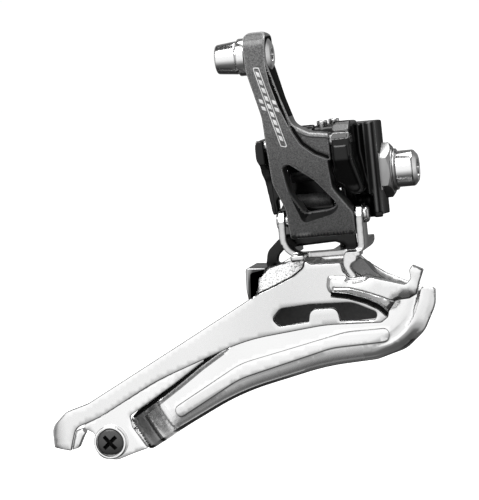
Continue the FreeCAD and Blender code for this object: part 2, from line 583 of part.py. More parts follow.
def build_cage_bracket():
    """Bent steel yoke: rear ear, floor, front ear, an inner lug, and a foot on the outer plate."""
    body = new_body("cage_bracket")
    thickness = number("Sizes.bracket_thickness")
    rear = number("Sizes.rear_ear_x")
    front = number("Sizes.front_ear_x")
    top = number("Sizes.floor_top")
    floor = top - 1.4
    yoke = [(rear, 0.0), (rear, floor, 4.0 + thickness), (front, floor, 2.4), (front, 0.0),
            (front - thickness, 0.0), (front - thickness, top, 1.0), (rear + thickness, top, 4.0),
            (rear + thickness, 0.0)]
    slab_xz(body, yoke, -12.2, 3.4)
    # Shape the ears: round tops around the pins.
    outer = point_of(OUTER_LOWER)
    inner = point_of(INNER_LOWER)
    tops = [(-40.0, 5.0), (-40.0, -17.0), (-12.2, -17.0), (outer[0] - 3.1, outer[1], 2.0),
            (outer[0] - 1.5, outer[1] + 2.7, 1.5), (outer[0] + 1.5, outer[1] + 2.7, 1.5),
            (inner[0] - 2.0, inner[1] + 2.3, 1.5), (inner[0] + 1.6, inner[1] + 2.3, 1.5),
            (inner[0] + 2.6, inner[1] - 1.5, 2.0), (3.4, -17.0), (40.0, -17.0), (40.0, 5.0)]
    cut_yz(body, tops)
    # The front ear carries only the outer pivot, clear of the seat.
    cut_yz(body, [(-5.7, 5.0), (-5.7, -16.0, 1.0), (10.0, -16.0), (10.0, 5.0)], front - thickness - 3.0, front + 1)
    lug = [(inner[0] - 2.4, floor), (inner[0] - 2.2, inner[1] + 2.2, 2.1), (inner[0] + 2.2, inner[1] + 2.2, 2.1),
           (inner[0] + 2.4, floor)]
    slab_yz(body, lug, -8.0, -6.6)
    # Opening in the floor, from the middle to its inboard edge.
    opening = new_sketch(body, "XY_Plane", floor)
    add_outline(opening, [(-18.4, -8.4, 1.5), (-8.6, -8.4, 1.5), (-8.6, 6.0), (-18.4, 6.0)])
    cut(body, opening, 6.0)
    # The floor reaches out over the outer plate at the rear.
    reach = [(rear + 3.4, top - 0.2), (rear + 3.4, floor, 0.3), (-14.4, floor, 0.3), (-14.4, top - 0.2)]
    slab_xz(body, reach, -16.9, -11.8)
    foot = [(front - 1.6, top - 0.4), (front - 4.8, top - 0.6, 0.8), (front - 5.3, -21.2, 1.5),
            (front - 3.6, -24.9, 0.5), (front - 1.9, -24.3, 0.5), (front - 3.8, -21.4, 1.0),
            (front - 1.6, -20.3, 0.8)]
    slab_xz(body, foot, -16.2, -14.8)
    slab_xz(body, [(front - 4.6, top - 0.3), (front - 4.6, floor), (front - 0.6, floor), (front - 0.6, top - 0.3)],
            -16.2, -12.0)
    bore_x(body, OUTER_LOWER, "Sizes.outer_pin_radius")
    bore_x(body, INNER_LOWER, "Sizes.inner_pin_radius")
    rear_end = (INNER_LOWER[0], INNER_LOWER[1] + " - Sizes.spring_coil")
    bore_x(body, rear_end, "Sizes.spring_wire + 0.1", rear - 1.0, rear + thickness + 1.0)
    return body


def build_outer_plate():
    """Outer cage plate: a long curved blade with a window, a hooked tail and a rib over its nose."""
    body = new_body("outer_cage_plate")
    near = "Sizes.outer_plate_y"
    back = "Sizes.outer_plate_y + Sizes.plate_thickness"
    blade = [(-83.9, -61.7), (-83.9, -56.5, 4.0), (-79.3, -52.6, 3.0), (-73.5, -50.9, 6.0),
             (-48.0, -37.6, 60.0), (-31.1, -28.7, 3.0), (-26.9, -26.4, 0.5), (-26.5, -22.0, 0.6),
             (-23.5, -20.3, 3.0), (-18.6, -19.2, 3.0), (-14.6, -19.2, 0.8), (-12.6, -20.2, 1.5),
             (-3.5, -20.9, 2.0), (0.6, -24.0, 4.0), (10.2, -26.9, 1.2), (11.6, -25.4, 0.6),
             (11.4, -23.4, 0.6), (12.2, -22.3, 0.3), (14.8, -23.6, 0.4), (13.5, -26.6, 1.0),
             (12.7, -29.5, 1.2), (10.6, -30.5, 0.8), (7.3, -30.7, 0.8), (5.2, -33.4, 0.6),
             (4.9, -34.7, 0.5), (3.2, -35.9, 0.8), (-10.7, -35.5, 40.0), (-31.1, -37.8, 50.0),
             (-55.0, -46.4, 60.0), (-70.6, -54.6, 20.0), (-77.3, -56.9, 3.0), (-79.2, -62.8, 0.2)]
    slab_xz(body, blade, near, back)
    window = [(-23.9, -33.0, 1.0), (-21.6, -30.6, 2.0), (-14.0, -30.1, 8.0), (-3.4, -30.4, 8.0),
              (2.6, -33.4, 1.4), (1.6, -35.1, 0.8), (-6.9, -34.7, 0.3), (-7.4, -31.3, 2.6), (-14.2, -31.3, 2.6),
              (-14.8, -34.3, 0.3), (-22.3, -34.9, 1.0)]
    cut_xz(body, window)
    # Rolled rib that stiffens the nose.
    rib = [(-9.6, -26.3, 1.2), (-8.2, -24.4, 1.0), (10.4, -27.4, 2.0), (12.4, -26.4, 0.5), (12.8, -28.0, 0.8),
           (12.0, -29.3, 0.8), (8.0, -30.2, 1.5), (-1.5, -28.4, 8.0), (-8.6, -27.6, 1.0)]
    slab_xz(body, rib, "Sizes.outer_plate_y - 1.1", near)
    # Folded tail: an edge turned inboard, and a lower band that widens into the tab for the tail screw.
    fold = [(-79.2, -62.6), (-78.4, -58.0, 1.0), (-72.6, -55.4), (-71.2, -56.6), (-76.2, -59.6, 1.0), (-77.6, -62.2)]
    slab_xz(body, fold, back, -13.4)
    band = [(-76.5, -56.8, 1.0), (-66.0, -51.0), (-44.0, -41.0), (-42.4, -42.2, 1.0), (-51.4, -48.0, 10.0),
            (-63.3, -55.0, 0.8), (-62.9, -57.6, 1.5), (-59.4, -63.4, 0.4), (-63.0, -64.4, 3.0),
            (-67.6, -65.9, 3.5), (-73.0, -65.1, 4.2), (-72.8, -58.8, 1.5)]
    slab_xz(body, band, back, -14.8)
    tail = ("Sizes.tail_x", "Sizes.tail_z")
    hole = new_sketch(body, "XZ_Plane", "0", tail)
    add_circle(hole, 1.5)
    cut(body, hole)
    return body


def build_inner_plate():
    """Inner cage plate: deeper than the outer one, flared at the nose, stepped outboard at the tail."""
    body = new_body("inner_cage_plate")
    chain_side = "Sizes.inner_plate_y"
    far_side = "Sizes.inner_plate_y + Sizes.inner_thickness"
    blade = [(-62.9, -55.2, 0.5), (-61.8, -54.0, 0.5), (-52.2, -46.0, 20.0), (-38.0, -37.6, 20.0),
             (-29.6, -31.0, 3.0), (-27.0, -22.2, 3.0), (-26.0, -17.4, 3.0), (-22.9, -14.6, 3.0),
             (-21.4, -14.0), (-21.4, -17.0), (-23.2, -18.6, 2.0), (-23.6, -21.0, 0.7), (-20.0, -19.2),
             (1.4, -19.2, 0.6), (9.6, -26.6, 4.0), (13.2, -29.2, 0.6), (15.3, -30.0, 0.7),
             (15.0, -34.0, 8.0), (11.6, -40.5, 8.0), (6.6, -44.7, 7.0), (-1.0, -46.9, 8.0),
             (-14.0, -47.7, 30.0), (-36.7, -53.1, 40.0), (-50.5, -59.9, 40.0), (-59.6, -64.4, 0.6)]
    slab_xz(body, blade, chain_side, far_side)
    # Lengthwise bead pressed into the blade.
    bead = [(-54.6, -55.6, 1.5), (-36.0, -45.3, 20.0), (-8.0, -39.2, 20.0), (2.0, -39.6, 1.5), (1.6, -43.0, 1.5),
            (-12.0, -43.0, 20.0), (-36.6, -49.2, 20.0), (-53.4, -58.4, 1.5)]
    slab_xz(body, bead, "Sizes.inner_plate_y - 0.5", chain_side)
    # Step from the blade out to the tail tab.
    step = [(-62.9, -55.2, 0.4), (-61.6, -55.2), (-58.6, -63.6), (-59.6, -64.2, 0.3), (-60.4, -63.2, 0.3)]
    slab_xz(body, step, -14.8, far_side)
    tab = [(-72.0, -58.4, 3.0), (-70.0, -57.0, 2.0), (-62.8, -56.4, 0.6), (-59.6, -63.4, 0.4),
           (-63.0, -64.2, 3.0), (-67.6, -65.2, 3.5), (-72.4, -64.6, 4.0)]
    slab_xz(body, tab, -14.8, -13.4)
    hole = new_sketch(body, "XZ_Plane", "0", ("Sizes.tail_x", "Sizes.tail_z"))
    add_circle(hole, 1.5)
    cut(body, hole)
    return body


def build_front_bridge():
    """Sloping strap that ties the two plates together above the chain, at the nose."""
    body = new_body("front_bridge")
    strap = [(0.6, -24.4, 0.5), (10.6, -27.6, 0.5), (10.2, -28.8, 0.5), (0.4, -25.7, 0.5)]
    slab_xz(body, strap, -16.2, -5.0)
    # Its upper end arches up to the cage bracket's foot.
    arch = [(-3.6, -22.6, 0.6), (-3.4, -20.4, 0.8), (-0.6, -19.7, 1.0), (1.6, -22.0, 1.5), (6.0, -25.8), (2.0, -26.0),
            (0.4, -25.7, 1.5)]
    slab_xz(body, arch, -14.8, -5.0)
    return body


def build_rear_bridge():
    """Bent strap that ties the two plates together behind the cage bracket."""
    body = new_body("rear_bridge")
    strap = [(-29.6, -20.0, 0.8), (-24.4, -20.4, 0.3), (-24.5, -21.6, 0.3), (-28.3, -21.5, 0.5), (-28.0, -29.6, 0.3),
             (-29.4, -30.4, 0.3), (-29.9, -25.4, 2.0)]
    slab_xz(body, strap, -16.2, -5.0)
    return body


TAIL_FACE = "Sizes.outer_plate_y + Sizes.plate_thickness"


def build_tail_boss():
    """Raised ring around the tail screw's head."""
    inner = number("Sizes.tail_head_radius") + 0.1
    outer = number("Sizes.tail_boss_radius")
    profile = [(0, inner), (0, outer, 0.1), (1.5, outer - 0.2, 0.3), (1.5, inner)]
    return turned("tail_boss", profile, ("Sizes.tail_x", TAIL_FACE, "Sizes.tail_z"), Vector(0, -1, 0))


def build_tail_screw():
    """Cross-headed screw that closes the cage's tail."""
    head = number("Sizes.tail_head_radius")
    profile = [(0, 0), (1.7, 0), (1.4, head - 0.5, 0.3), (0.9, head, 0.3), (0, head), (0, 1.5), (-4.0, 1.5),
               (-4.4, 1.1), (-4.4, 0)]
    screw = turned("tail_screw", profile, ("Sizes.tail_x", TAIL_FACE, "Sizes.tail_z"), Vector(0, -1, 0))
    arm, half = 2.1, 0.45
    cross = [(half, half), (arm, half), (arm, -half), (half, -half), (half, -arm), (-half, -arm), (-half, -half),
             (-arm, -half), (-arm, half), (-half, half), (-half, arm), (half, arm)]
    socket = new_sketch(screw, "YZ_Plane", 2.0)
    add_outline(socket, cross)
    cut(screw, socket, 1.5, False)
    return screw


def build_all():
    front_bush = -10.2
    pieces = [
        build_mount_body(),
        build_pin("outer_upper_pin", OUTER_UPPER, "Sizes.outer_pin_radius", -24.5, -0.7),
        build_pin("inner_upper_pin", INNER_UPPER, "Sizes.inner_pin_radius", -22.0, -5.8),
        build_mounting_bolt(),
        build_radius_washer(),
        build_bolt_washer(),
        build_limit_screw("low_limit_screw", LIMIT_PLACES[0]),
        build_limit_screw("high_limit_screw", LIMIT_PLACES[1]),
        build_outer_link(),
        build_bush("upper_rear_bush", OUTER_UPPER, -20.6),
        build_bush("upper_front_bush", OUTER_UPPER, front_bush),
        build_bush("lower_rear_bush", OUTER_LOWER, -18.2),
        build_bush("lower_front_bush", OUTER_LOWER, -6.2),
        build_inner_link(),
        build_spring_sleeve(),
        build_torsion_spring(),
        build_cable_bolt(),
        build_cable_washer(),
        build_cable_nut(),
        build_cage_bracket(),
        build_headed_pin("outer_lower_pin", OUTER_LOWER, "Sizes.outer_pin_radius", 2.1),
        build_inner_lower_pin(),
        build_outer_plate(),
        build_inner_plate(),
        build_front_bridge(),
        build_rear_bridge(),
        build_tail_boss(),
        build_tail_screw(),
    ]
    doc.recompute()
    return pieces


def check_document(pieces):
    """Stop before writing anything if an object failed or a shape is unsound."""
    for item in doc.Objects:
        if "Invalid" in item.State or "Error" in item.State:
            raise RuntimeError("%s failed" % item.Name)
    for piece in pieces:
        shape = piece.Shape
        if shape.isNull() or not shape.isValid() or not shape.Solids:
            raise RuntimeError("%s has no valid solid" % piece.Label)


pieces = build_all()
check_document(pieces)
os.makedirs("parts", exist_ok=True)
for piece in pieces:
    piece.Shape.exportStep("parts/%s.step" % piece.Label)
    print("%-20s %d solid  %9.2f mm3" % (piece.Label, len(piece.Shape.Solids), piece.Shape.Volume))
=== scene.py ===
import math

import bmesh
import bpy
import numpy as np
from mathutils import Matrix, Vector
from mathutils.geometry import delaunay_2d_cdt


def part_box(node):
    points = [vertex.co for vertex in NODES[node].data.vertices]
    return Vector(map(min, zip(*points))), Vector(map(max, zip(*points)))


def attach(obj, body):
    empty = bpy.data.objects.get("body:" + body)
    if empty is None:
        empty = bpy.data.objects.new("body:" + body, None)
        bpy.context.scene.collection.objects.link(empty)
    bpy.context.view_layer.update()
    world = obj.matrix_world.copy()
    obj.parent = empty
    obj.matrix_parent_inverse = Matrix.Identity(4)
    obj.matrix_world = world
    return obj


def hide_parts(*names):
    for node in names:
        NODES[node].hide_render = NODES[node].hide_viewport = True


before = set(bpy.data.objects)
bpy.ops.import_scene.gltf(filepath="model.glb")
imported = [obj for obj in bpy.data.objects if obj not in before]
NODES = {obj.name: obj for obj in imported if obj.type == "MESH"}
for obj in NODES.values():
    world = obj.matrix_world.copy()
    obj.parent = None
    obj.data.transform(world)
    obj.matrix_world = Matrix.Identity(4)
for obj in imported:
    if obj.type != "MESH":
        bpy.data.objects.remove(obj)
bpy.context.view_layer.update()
MM = 0.001

# ---------------------------------------------------------------- camera, light and floor

AZIMUTH, ELEVATION, ROLL = (math.radians(angle) for angle in (13.0, 5.5, 6.0))
DISTANCE = 0.6
LENS_MM, SENSOR_MM = 180.376, 36.0
AIM_LEFT, AIM_BELOW = 0.03154, 0.01955
LAMP_TARGET = (-0.03, -0.01, -0.02)


def add_camera():
    """Long lens from the drive side, a little forward and above, rolled so that the seat tube leans back."""
    level_reach = math.cos(ELEVATION)
    back = Vector((math.sin(AZIMUTH) * level_reach, -math.cos(AZIMUTH) * level_reach, math.sin(ELEVATION)))
    sideways = Vector((math.cos(AZIMUTH), math.sin(AZIMUTH), 0.0))
    upward = back.cross(sideways)
    right = sideways * math.cos(ROLL) - upward * math.sin(ROLL)
    top = sideways * math.sin(ROLL) + upward * math.cos(ROLL)
    place = back * DISTANCE - right * AIM_LEFT - top * AIM_BELOW
    data = bpy.data.cameras.new("camera")
    data.sensor_fit = "HORIZONTAL"
    data.sensor_width = SENSOR_MM
    data.lens = LENS_MM
    data.clip_start = 0.01
    camera = bpy.data.objects.new("camera", data)
    camera.matrix_world = Matrix((
        (right.x, top.x, back.x, place.x),
        (right.y, top.y, back.y, place.y),
        (right.z, top.z, back.z, place.z),
        (0, 0, 0, 1)))
    bpy.context.scene.collection.objects.link(camera)
    bpy.context.scene.camera = camera


def add_area_light(name, place, size, power):
    data = bpy.data.lights.new(name, "AREA")
    data.shape = "RECTANGLE"
    data.size, data.size_y = size
    data.energy = power
    lamp = bpy.data.objects.new(name, data)
    lamp.location = place
    lamp.rotation_euler = (Vector(LAMP_TARGET) - Vector(place)).to_track_quat("-Z", "Y").to_euler()
    bpy.context.scene.collection.objects.link(lamp)


# Brightness of the studio walls by the height of the view, as a share of straight down to straight up.
STUDIO_BANDS = [
    (0.0, 0.20), (0.06, 0.16), (0.16, 0.09), (0.27, 0.11), (0.35, 0.42), (0.43, 0.9), (0.48, 1.08),
    (0.66, 1.05), (0.75, 0.30), (0.82, 0.03), (0.92, 0.05), (1.0, 0.4)]
# The same by the compass direction, from straight back (-X) through outboard (-Y) and forward (+X).
STUDIO_COLUMNS = [
    (0.0, 0.5), (0.05, 0.05), (0.10, 0.8), (0.17, 1.0), (0.27, 1.0), (0.33, 0.85), (0.38, 0.12),
    (0.43, 0.08), (0.48, 0.8), (0.55, 0.6), (0.64, 0.2), (0.75, 0.2), (0.9, 0.3), (1.0, 0.5)]
BACKDROP = 1.02


class Graph:
    """A node tree, with short calls for the nodes used here."""

    def __init__(self, tree):
        self.tree = tree

    def node(self, kind, inputs, **settings):
        """New node whose inputs are values or other nodes' outputs."""
        node = self.tree.nodes.new("ShaderNode" + kind)
        for key, value in settings.items():
            setattr(node, key, value)
        for key, value in inputs.items():
            if isinstance(value, bpy.types.NodeSocket):
                self.tree.links.new(value, node.inputs[key])
            else:
                node.inputs[key].default_value = value
        return node

    def ramp(self, source, stops, interpolation="LINEAR"):
        """Grey ramp: stops are (position, grey)."""
        node = self.node("ValToRGB", {"Fac": source})
        node.color_ramp.interpolation = interpolation
        elements = node.color_ramp.elements
        while len(elements) < len(stops):
            elements.new(0.5)
        for element, (position, grey) in zip(elements, stops):
            element.position = position
            element.color = (grey, grey, grey, 1.0)
        return node.outputs["Color"]

    def calculate(self, operation, *values):
        return self.node("Math", dict(enumerate(values)), operation=operation).outputs[0]


def add_world():
    """Studio room: white to the camera, and banded softboxes and dark cards to the reflections."""
    scene = bpy.context.scene
    scene.view_settings.view_transform = "Standard"
    world = bpy.data.worlds.new("studio")
    scene.world = world
    world.use_nodes = True
    graph = Graph(world.node_tree)
    background = world.node_tree.nodes["Background"]
    background.inputs["Color"].default_value = (1.0, 1.0, 1.0, 1.0)
    place = graph.node("TexCoord", {}).outputs["Generated"]
    axes = graph.node("SeparateXYZ", {"Vector": place}).outputs
    height = graph.calculate("DIVIDE", graph.calculate("ARCSINE", axes["Z"]), math.pi)
    around = graph.calculate("DIVIDE", graph.calculate("ARCTAN2", axes["Y"], axes["X"]), 2 * math.pi)
    rows = graph.ramp(graph.calculate("ADD", height, 0.5), STUDIO_BANDS, "EASE")
    columns = graph.ramp(graph.calculate("ADD", around, 0.5), STUDIO_COLUMNS, "EASE")
    seen = graph.node("LightPath", {}).outputs["Is Camera Ray"]
    walls = graph.calculate("MULTIPLY", rows, columns)
    mix = graph.node("Mix", {"Factor": seen, "A": walls, "B": BACKDROP})
    world.node_tree.links.new(mix.outputs["Result"], background.inputs["Strength"])


def add_floor():
    """Pale floor, well below the part."""
    reach, depth = 6.0, -0.16
    mesh = bpy.data.meshes.new("floor")
    mesh.from_pydata([(-reach, -reach, depth), (reach, -reach, depth), (reach, reach, depth),
                      (-reach, reach, depth)], [], [(0, 1, 2, 3)])
    floor = bpy.data.objects.new("floor", mesh)
    mesh.materials.append(make_floor_material())
    bpy.context.scene.collection.objects.link(floor)
    floor.visible_glossy = False
    floor.visible_diffuse = False


def add_lights():
    add_area_light("key", (-0.25, -0.5, 0.6), (0.5, 0.5), 6.0)
    add_area_light("top", (0.1, 0.1, 0.7), (0.6, 0.4), 4.0)


# ---------------------------------------------------------------- materials


class Shader(Graph):
    """A material's node tree, with short calls for its patterns and its surface."""

    def __init__(self, name):
        self.material = bpy.data.materials.new(name)
        self.material.use_nodes = True
        super().__init__(self.material.node_tree)
        self.surface = self.tree.nodes["Principled BSDF"]
        self.place = self.node("TexCoord", {}).outputs["Object"]

    def set(self, **values):
        for key, value in values.items():
            self.surface.inputs[key.replace("_", " ")].default_value = value

    def link(self, output, target):
        self.tree.links.new(output, self.surface.inputs[target])

    def roughness(self, source, low, high):
        self.link(self.ramp(source, [(0.3, low), (0.7, high)]), "Roughness")

    def bump(self, source, strength, distance):
        inputs = {"Strength": strength, "Distance": distance, "Height": source}
        self.link(self.node("Bump", inputs).outputs["Normal"], "Normal")

    def noise(self, scale, detail=2.0, stretch=None):
        """Noise in the piece's own place, scale in features per metre."""
        source = self.place
        if stretch:
            source = self.node("Mapping", {"Scale": stretch, "Vector": source}).outputs["Vector"]
        return self.node("TexNoise", {"Scale": scale, "Detail": detail, "Vector": source}).outputs["Fac"]

    def along(self, axis, stops):
        """Grey ramp along X, Y or Z: stops are (place in metres, grey)."""
        low, high = stops[0][0], stops[-1][0]
        value = self.node("SeparateXYZ", {"Vector": self.place}).outputs[axis]
        scaled = self.node("MapRange", {"From Min": low, "From Max": high, "Value": value})
        shares = [((place - low) / (high - low), grey) for place, grey in stops]
        return self.ramp(scaled.outputs["Result"], shares)

    def edges(self, stops):
        """Grey ramp by how far the surface juts out: flat parts are at 0.5 and edges above it."""
        return self.ramp(self.node("NewGeometry", {}).outputs["Pointiness"], stops)

    def multiply(self, first, second):
        return self.node("VectorMath", {0: first, 1: second}, operation="MULTIPLY").outputs["Vector"]


def make_floor_material():
    """White paper that lights itself."""
    shader = Shader("floor_paper")
    shader.set(Roughness=1.0)
    tone = shader.ramp(shader.noise(8.0), [(0.3, 0.93), (0.7, 0.97)])
    shader.link(tone, "Base Color")
    shader.link(tone, "Emission Color")
    shader.set(Emission_Strength=1.0)
    return shader.material


def make_satin_grey(name, low, high):
    """Satin anodised finish with a fine speckle, and painted shade that darkens it towards the bottom."""
    shader = Shader(name)
    shader.set(Metallic=0.35)
    grain = shader.noise(4200.0, 2.0)
    # Painted shade: the speckled tone times a ramp along Z that darkens it towards the bottom.
    tone = shader.multiply(shader.ramp(grain, [(0.38, low), (0.62, high)]),
                           shader.along("Z", [(-0.0145, 0.55), (0.0, 0.66), (0.010, 0.92), (0.036, 1.0)]))
    shader.link(tone, "Base Color")
    shader.roughness(grain, 0.38, 0.5)
    shader.bump(grain, 0.25, 0.00006)
    return shader.material


def make_gloss_black(name="gloss_black", sheen=None):
    """Deep gloss paint with a trace of orange peel; sheen adds painted highlights, lighter bands along X."""
    shader = Shader(name)
    shader.set(Specular_IOR_Level=0.3)
    broad = shader.noise(120.0, 3.0)
    tone = shader.along("X", sheen) if sheen else shader.ramp(broad, [(0.3, 0.003), (0.7, 0.006)])
    shader.link(tone, "Base Color")
    shader.roughness(broad, 0.14, 0.20)
    shader.bump(shader.noise(900.0, 1.0), 0.04, 0.00005)
    return shader.material


def make_shadow_black():
    """Painted shadow: unlit black standing in for the shade in deep grooves, creases and recesses."""
    shader = Shader("groove_black")
    grain = shader.noise(900.0, 2.0)
    shader.link(shader.ramp(grain, [(0.3, 0.002), (0.7, 0.008)]), "Base Color")
    shader.set(Roughness=0.7, Specular_IOR_Level=0.05)
    return shader.material


def make_cast_chrome():
    """Plating over a coarse casting, with dark pits."""
    shader = Shader("cast_chrome")
    shader.set(Metallic=1.0)
    pits = shader.noise(2600.0, 3.0)
    shader.link(shader.ramp(pits, [(0.38, 0.16), (0.56, 0.52)]), "Base Color")
    shader.roughness(pits, 0.3, 0.55)
    shader.bump(pits, 0.6, 0.0001)
    return shader.material


def make_edged_chrome():
    """Plated bent sheet with painted shade: its rounded edges and its inboard parts are painted darker,
    standing in for dark reflections.
    """
    shader = Shader("chrome_with_painted_shade")
    shader.set(Metallic=1.0)
    fine = shader.noise(2500.0, 2.0)
    tone = shader.multiply(shader.edges([(0.50, 0.80), (0.525, 0.45), (0.56, 0.06)]),
                           shader.ramp(fine, [(0.3, 0.94), (0.7, 1.0)]))
    # Painted shade: darker towards the inboard side, along Y.
    painted_inboard_shade = shader.along("Y", [(-0.0150, 1.0), (-0.0105, 0.7), (-0.0070, 0.12), (0.004, 0.06)])
    tone = shader.multiply(tone, painted_inboard_shade)
    shader.link(tone, "Base Color")
    shader.roughness(fine, 0.12, 0.2)
    shader.bump(fine, 0.06, 0.00002)
    return shader.material


def make_metal(name, tone, rough, stretch=None, grain=2500.0, depth=0.00002, strength=0.12, shade=None):
    """Bare or plated metal: a tone, a roughness range and a fine, perhaps brushed, grain; shade paints shade
    along X into the colour.
    """
    shader = Shader(name)
    shader.set(Metallic=1.0)
    fine = shader.noise(grain, 2.0, stretch)
    broad = shader.noise(60.0, 2.0)
    colour = shader.ramp(broad, [(0.3, tone * 0.96), (0.7, tone)])
    if shade:
        colour = shader.multiply(colour, shader.along("X", shade))
    shader.link(colour, "Base Color")
    shader.roughness(fine, *rough)
    shader.bump(fine, strength, depth)
    return shader.material


def make_plastic():
    """Matt moulded plastic with a light texture, also used as painted shadow on the inner plate."""
    shader = Shader("black_plastic")
    grain = shader.noise(1500.0, 2.0)
    shader.link(shader.ramp(grain, [(0.3, 0.025), (0.7, 0.04)]), "Base Color")
    shader.set(Roughness=0.5)
    shader.bump(grain, 0.15, 0.00003)
    return shader.material


def make_label_white():
    """Printed white ink with soft wear."""
    shader = Shader("label_white")
    wear = shader.noise(900.0, 3.0)
    shader.link(shader.ramp(wear, [(0.25, 0.62), (0.6, 0.85)]), "Base Color")
    shader.set(Roughness=0.5)
    shader.bump(wear, 0.1, 0.00002)
    return shader.material


# Painted sheen: lighter bands down the seat's near pillar, by X, as painted highlights.
PILLAR_PAINTED_SHEEN = [
    (0.0010, 0.02), (0.0014, 0.15), (0.0018, 0.02), (0.0027, 0.01), (0.0031, 0.12), (0.0035, 0.01),
    (0.0040, 0.004), (0.0043, 0.10)]

LOOKS = {
    # Satin grey of the outer link, also used as painted highlight on black parts.
    "satin_grey": make_satin_grey("satin_grey", 0.08, 0.20),
    # Painted highlight: a lighter copy of the satin grey for rims and edges.
    "satin_rim": make_satin_grey("satin_rim", 0.30, 0.42),
    # Painted shade: a darker copy of the satin grey for the link's foot, its window's slope and a bar behind
    # the window.
    "satin_dark": make_satin_grey("satin_dark", 0.015, 0.04),
    # Gloss black paint of the mount and inner link, also used as painted shade on the cage's strap and the
    # bracket's web.
    "gloss_black": make_gloss_black(),
    "sheen_black": make_gloss_black("sheen_black", PILLAR_PAINTED_SHEEN),
    "groove_black": make_shadow_black(),
    # Painted shade on the satin chrome: darker around the outer plate's window, lighter towards the tail.
    "satin_chrome": make_metal("satin_chrome", 0.96, (0.26, 0.30), grain=1200.0, strength=0.02,
                               shade=[(-0.084, 1.0), (-0.045, 0.97), (-0.018, 0.84), (0.015, 0.95)]),
    "cast_chrome": make_cast_chrome(),
    "bright_chrome": make_metal("bright_chrome", 0.97, (0.07, 0.13), strength=0.03),
    "chrome_with_painted_shade": make_edged_chrome(),
    "cast_steel": make_metal("cast_steel", 0.16, (0.25, 0.45), grain=1900.0, depth=0.0001, strength=0.5),
    # Painted shade: darkened steel for dark lines, outlines and bands on the cage plates.
    "dark_steel": make_metal("dark_steel", 0.16, (0.15, 0.25), strength=0.06),
    # Brushed steel of the washers, also used as painted shade on the cage plates.
    "brushed_steel": make_metal("brushed_steel", 0.36, (0.28, 0.42), (1.0, 1.0, 0.1)),
    "turned_aluminium": make_metal("turned_aluminium", 0.88, (0.16, 0.24), (6.0, 0.3, 0.3), 1500.0),
    "pin_steel": make_metal("pin_steel", 0.62, (0.2, 0.3)),
    "spring_wire": make_metal("spring_wire", 0.30, (0.2, 0.35)),
    "dark_screw": make_metal("dark_screw", 0.10, (0.25, 0.4)),
    "black_plastic": make_plastic(),
    "label_white": make_label_white(),
}

NODE_LOOKS = {node: look for look, nodes in {
    "gloss_black": ["mount_body", "inner_link"],
    "satin_grey": ["outer_link"],
    "satin_chrome": ["outer_cage_plate"],
    "bright_chrome": ["inner_cage_plate", "tail_boss"],
    "chrome_with_painted_shade": ["cage_bracket", "rear_bridge"],
    "cast_steel": ["front_bridge"],
    "dark_screw": ["tail_screw"],
    "turned_aluminium": ["mounting_bolt", "cable_bolt", "cable_nut", "cable_washer"],
    "brushed_steel": ["radius_washer", "bolt_washer"],
    "pin_steel": ["low_limit_screw", "high_limit_screw", "outer_upper_pin", "inner_upper_pin",
                  "outer_lower_pin", "inner_lower_pin"],
    "spring_wire": ["torsion_spring"],
    "black_plastic": ["spring_sleeve", "upper_rear_bush", "upper_front_bush", "lower_rear_bush",
                      "lower_front_bush"],
}.items() for node in nodes}


def paint_nodes():
    for name, look in NODE_LOOKS.items():
        materials = NODES[name].data.materials
        materials.clear()
        materials.append(LOOKS[look])


# ---------------------------------------------------------------- plane geometry, in millimetres


def unit(vector):
    return vector / np.linalg.norm(vector)


def rounded(corners, pitch=0.5, closed=True):
    """Evenly divided line through corners (a, b[, radius]), with its corners rounded.

    A loop has its inside on its left.
    """
    points = [np.array(corner[:2], float) for corner in corners]
    radii = [corner[2] if len(corner) > 2 else 0.0 for corner in corners]
    count = len(points)
    path = []
    for i, point in enumerate(points):
        before, after = points[i - 1], points[(i + 1) % count]
        if radii[i] == 0 or not (closed or 0 < i < count - 1):
            path.append(point)
            continue
        towards, away = unit(before - point), unit(after - point)
        half = math.acos(np.clip(towards @ away, -1, 1)) / 2
        limit = 0.49 * min(np.linalg.norm(before - point), np.linalg.norm(after - point))
        reach = min(radii[i] / math.tan(half), limit)
        radius = reach * math.tan(half)
        centre = point + unit(towards + away) * radius / math.sin(half)
        first, last = point + towards * reach - centre, point + away * reach - centre
        start = math.atan2(first[1], first[0])
        sweep = (math.atan2(last[1], last[0]) - start + math.pi) % (2 * math.pi) - math.pi
        steps = max(2, math.ceil(abs(sweep) * radius / pitch), math.ceil(abs(sweep) / 0.35))
        for angle in np.linspace(start, start + sweep, steps + 1):
            path.append(centre + radius * np.array([math.cos(angle), math.sin(angle)]))
    line = []
    for a, b in zip(path, path[1:] + path[:1] if closed else path[1:]):
        length = np.linalg.norm(b - a)
        if length < 0.02:
            continue
        parts = max(1, math.ceil(length / pitch))
        line += [a + (b - a) * k / parts for k in range(parts)]
    if not closed:
        return np.array([*line, path[-1]])
    line = np.array(line)
    x, y = line.T
    turns_left = np.sum(x * np.roll(y, -1) - y * np.roll(x, -1)) > 0
    return line if turns_left else line[::-1]


def distance_from(points, line, closed=False):
    """Distance of each point from a line, positive on its left side."""
    ends = np.roll(line, -1, axis=0) if closed else line[1:]
    best = np.full(len(points), np.inf)
    side = np.ones(len(points))
    for start, end in zip(line, ends):
        run, relative = end - start, points - start
        share = np.clip(relative @ run / max(run @ run, 1e-18), 0, 1)
        gap = relative - share[:, None] * run
        distance = np.einsum("ij,ij->i", gap, gap)
        closer = distance < best
        best[closer] = distance[closer]
        side[closer] = np.sign(run[0] * relative[closer, 1] - run[1] * relative[closer, 0])
    side[side == 0] = 1
    return np.sqrt(best) * side


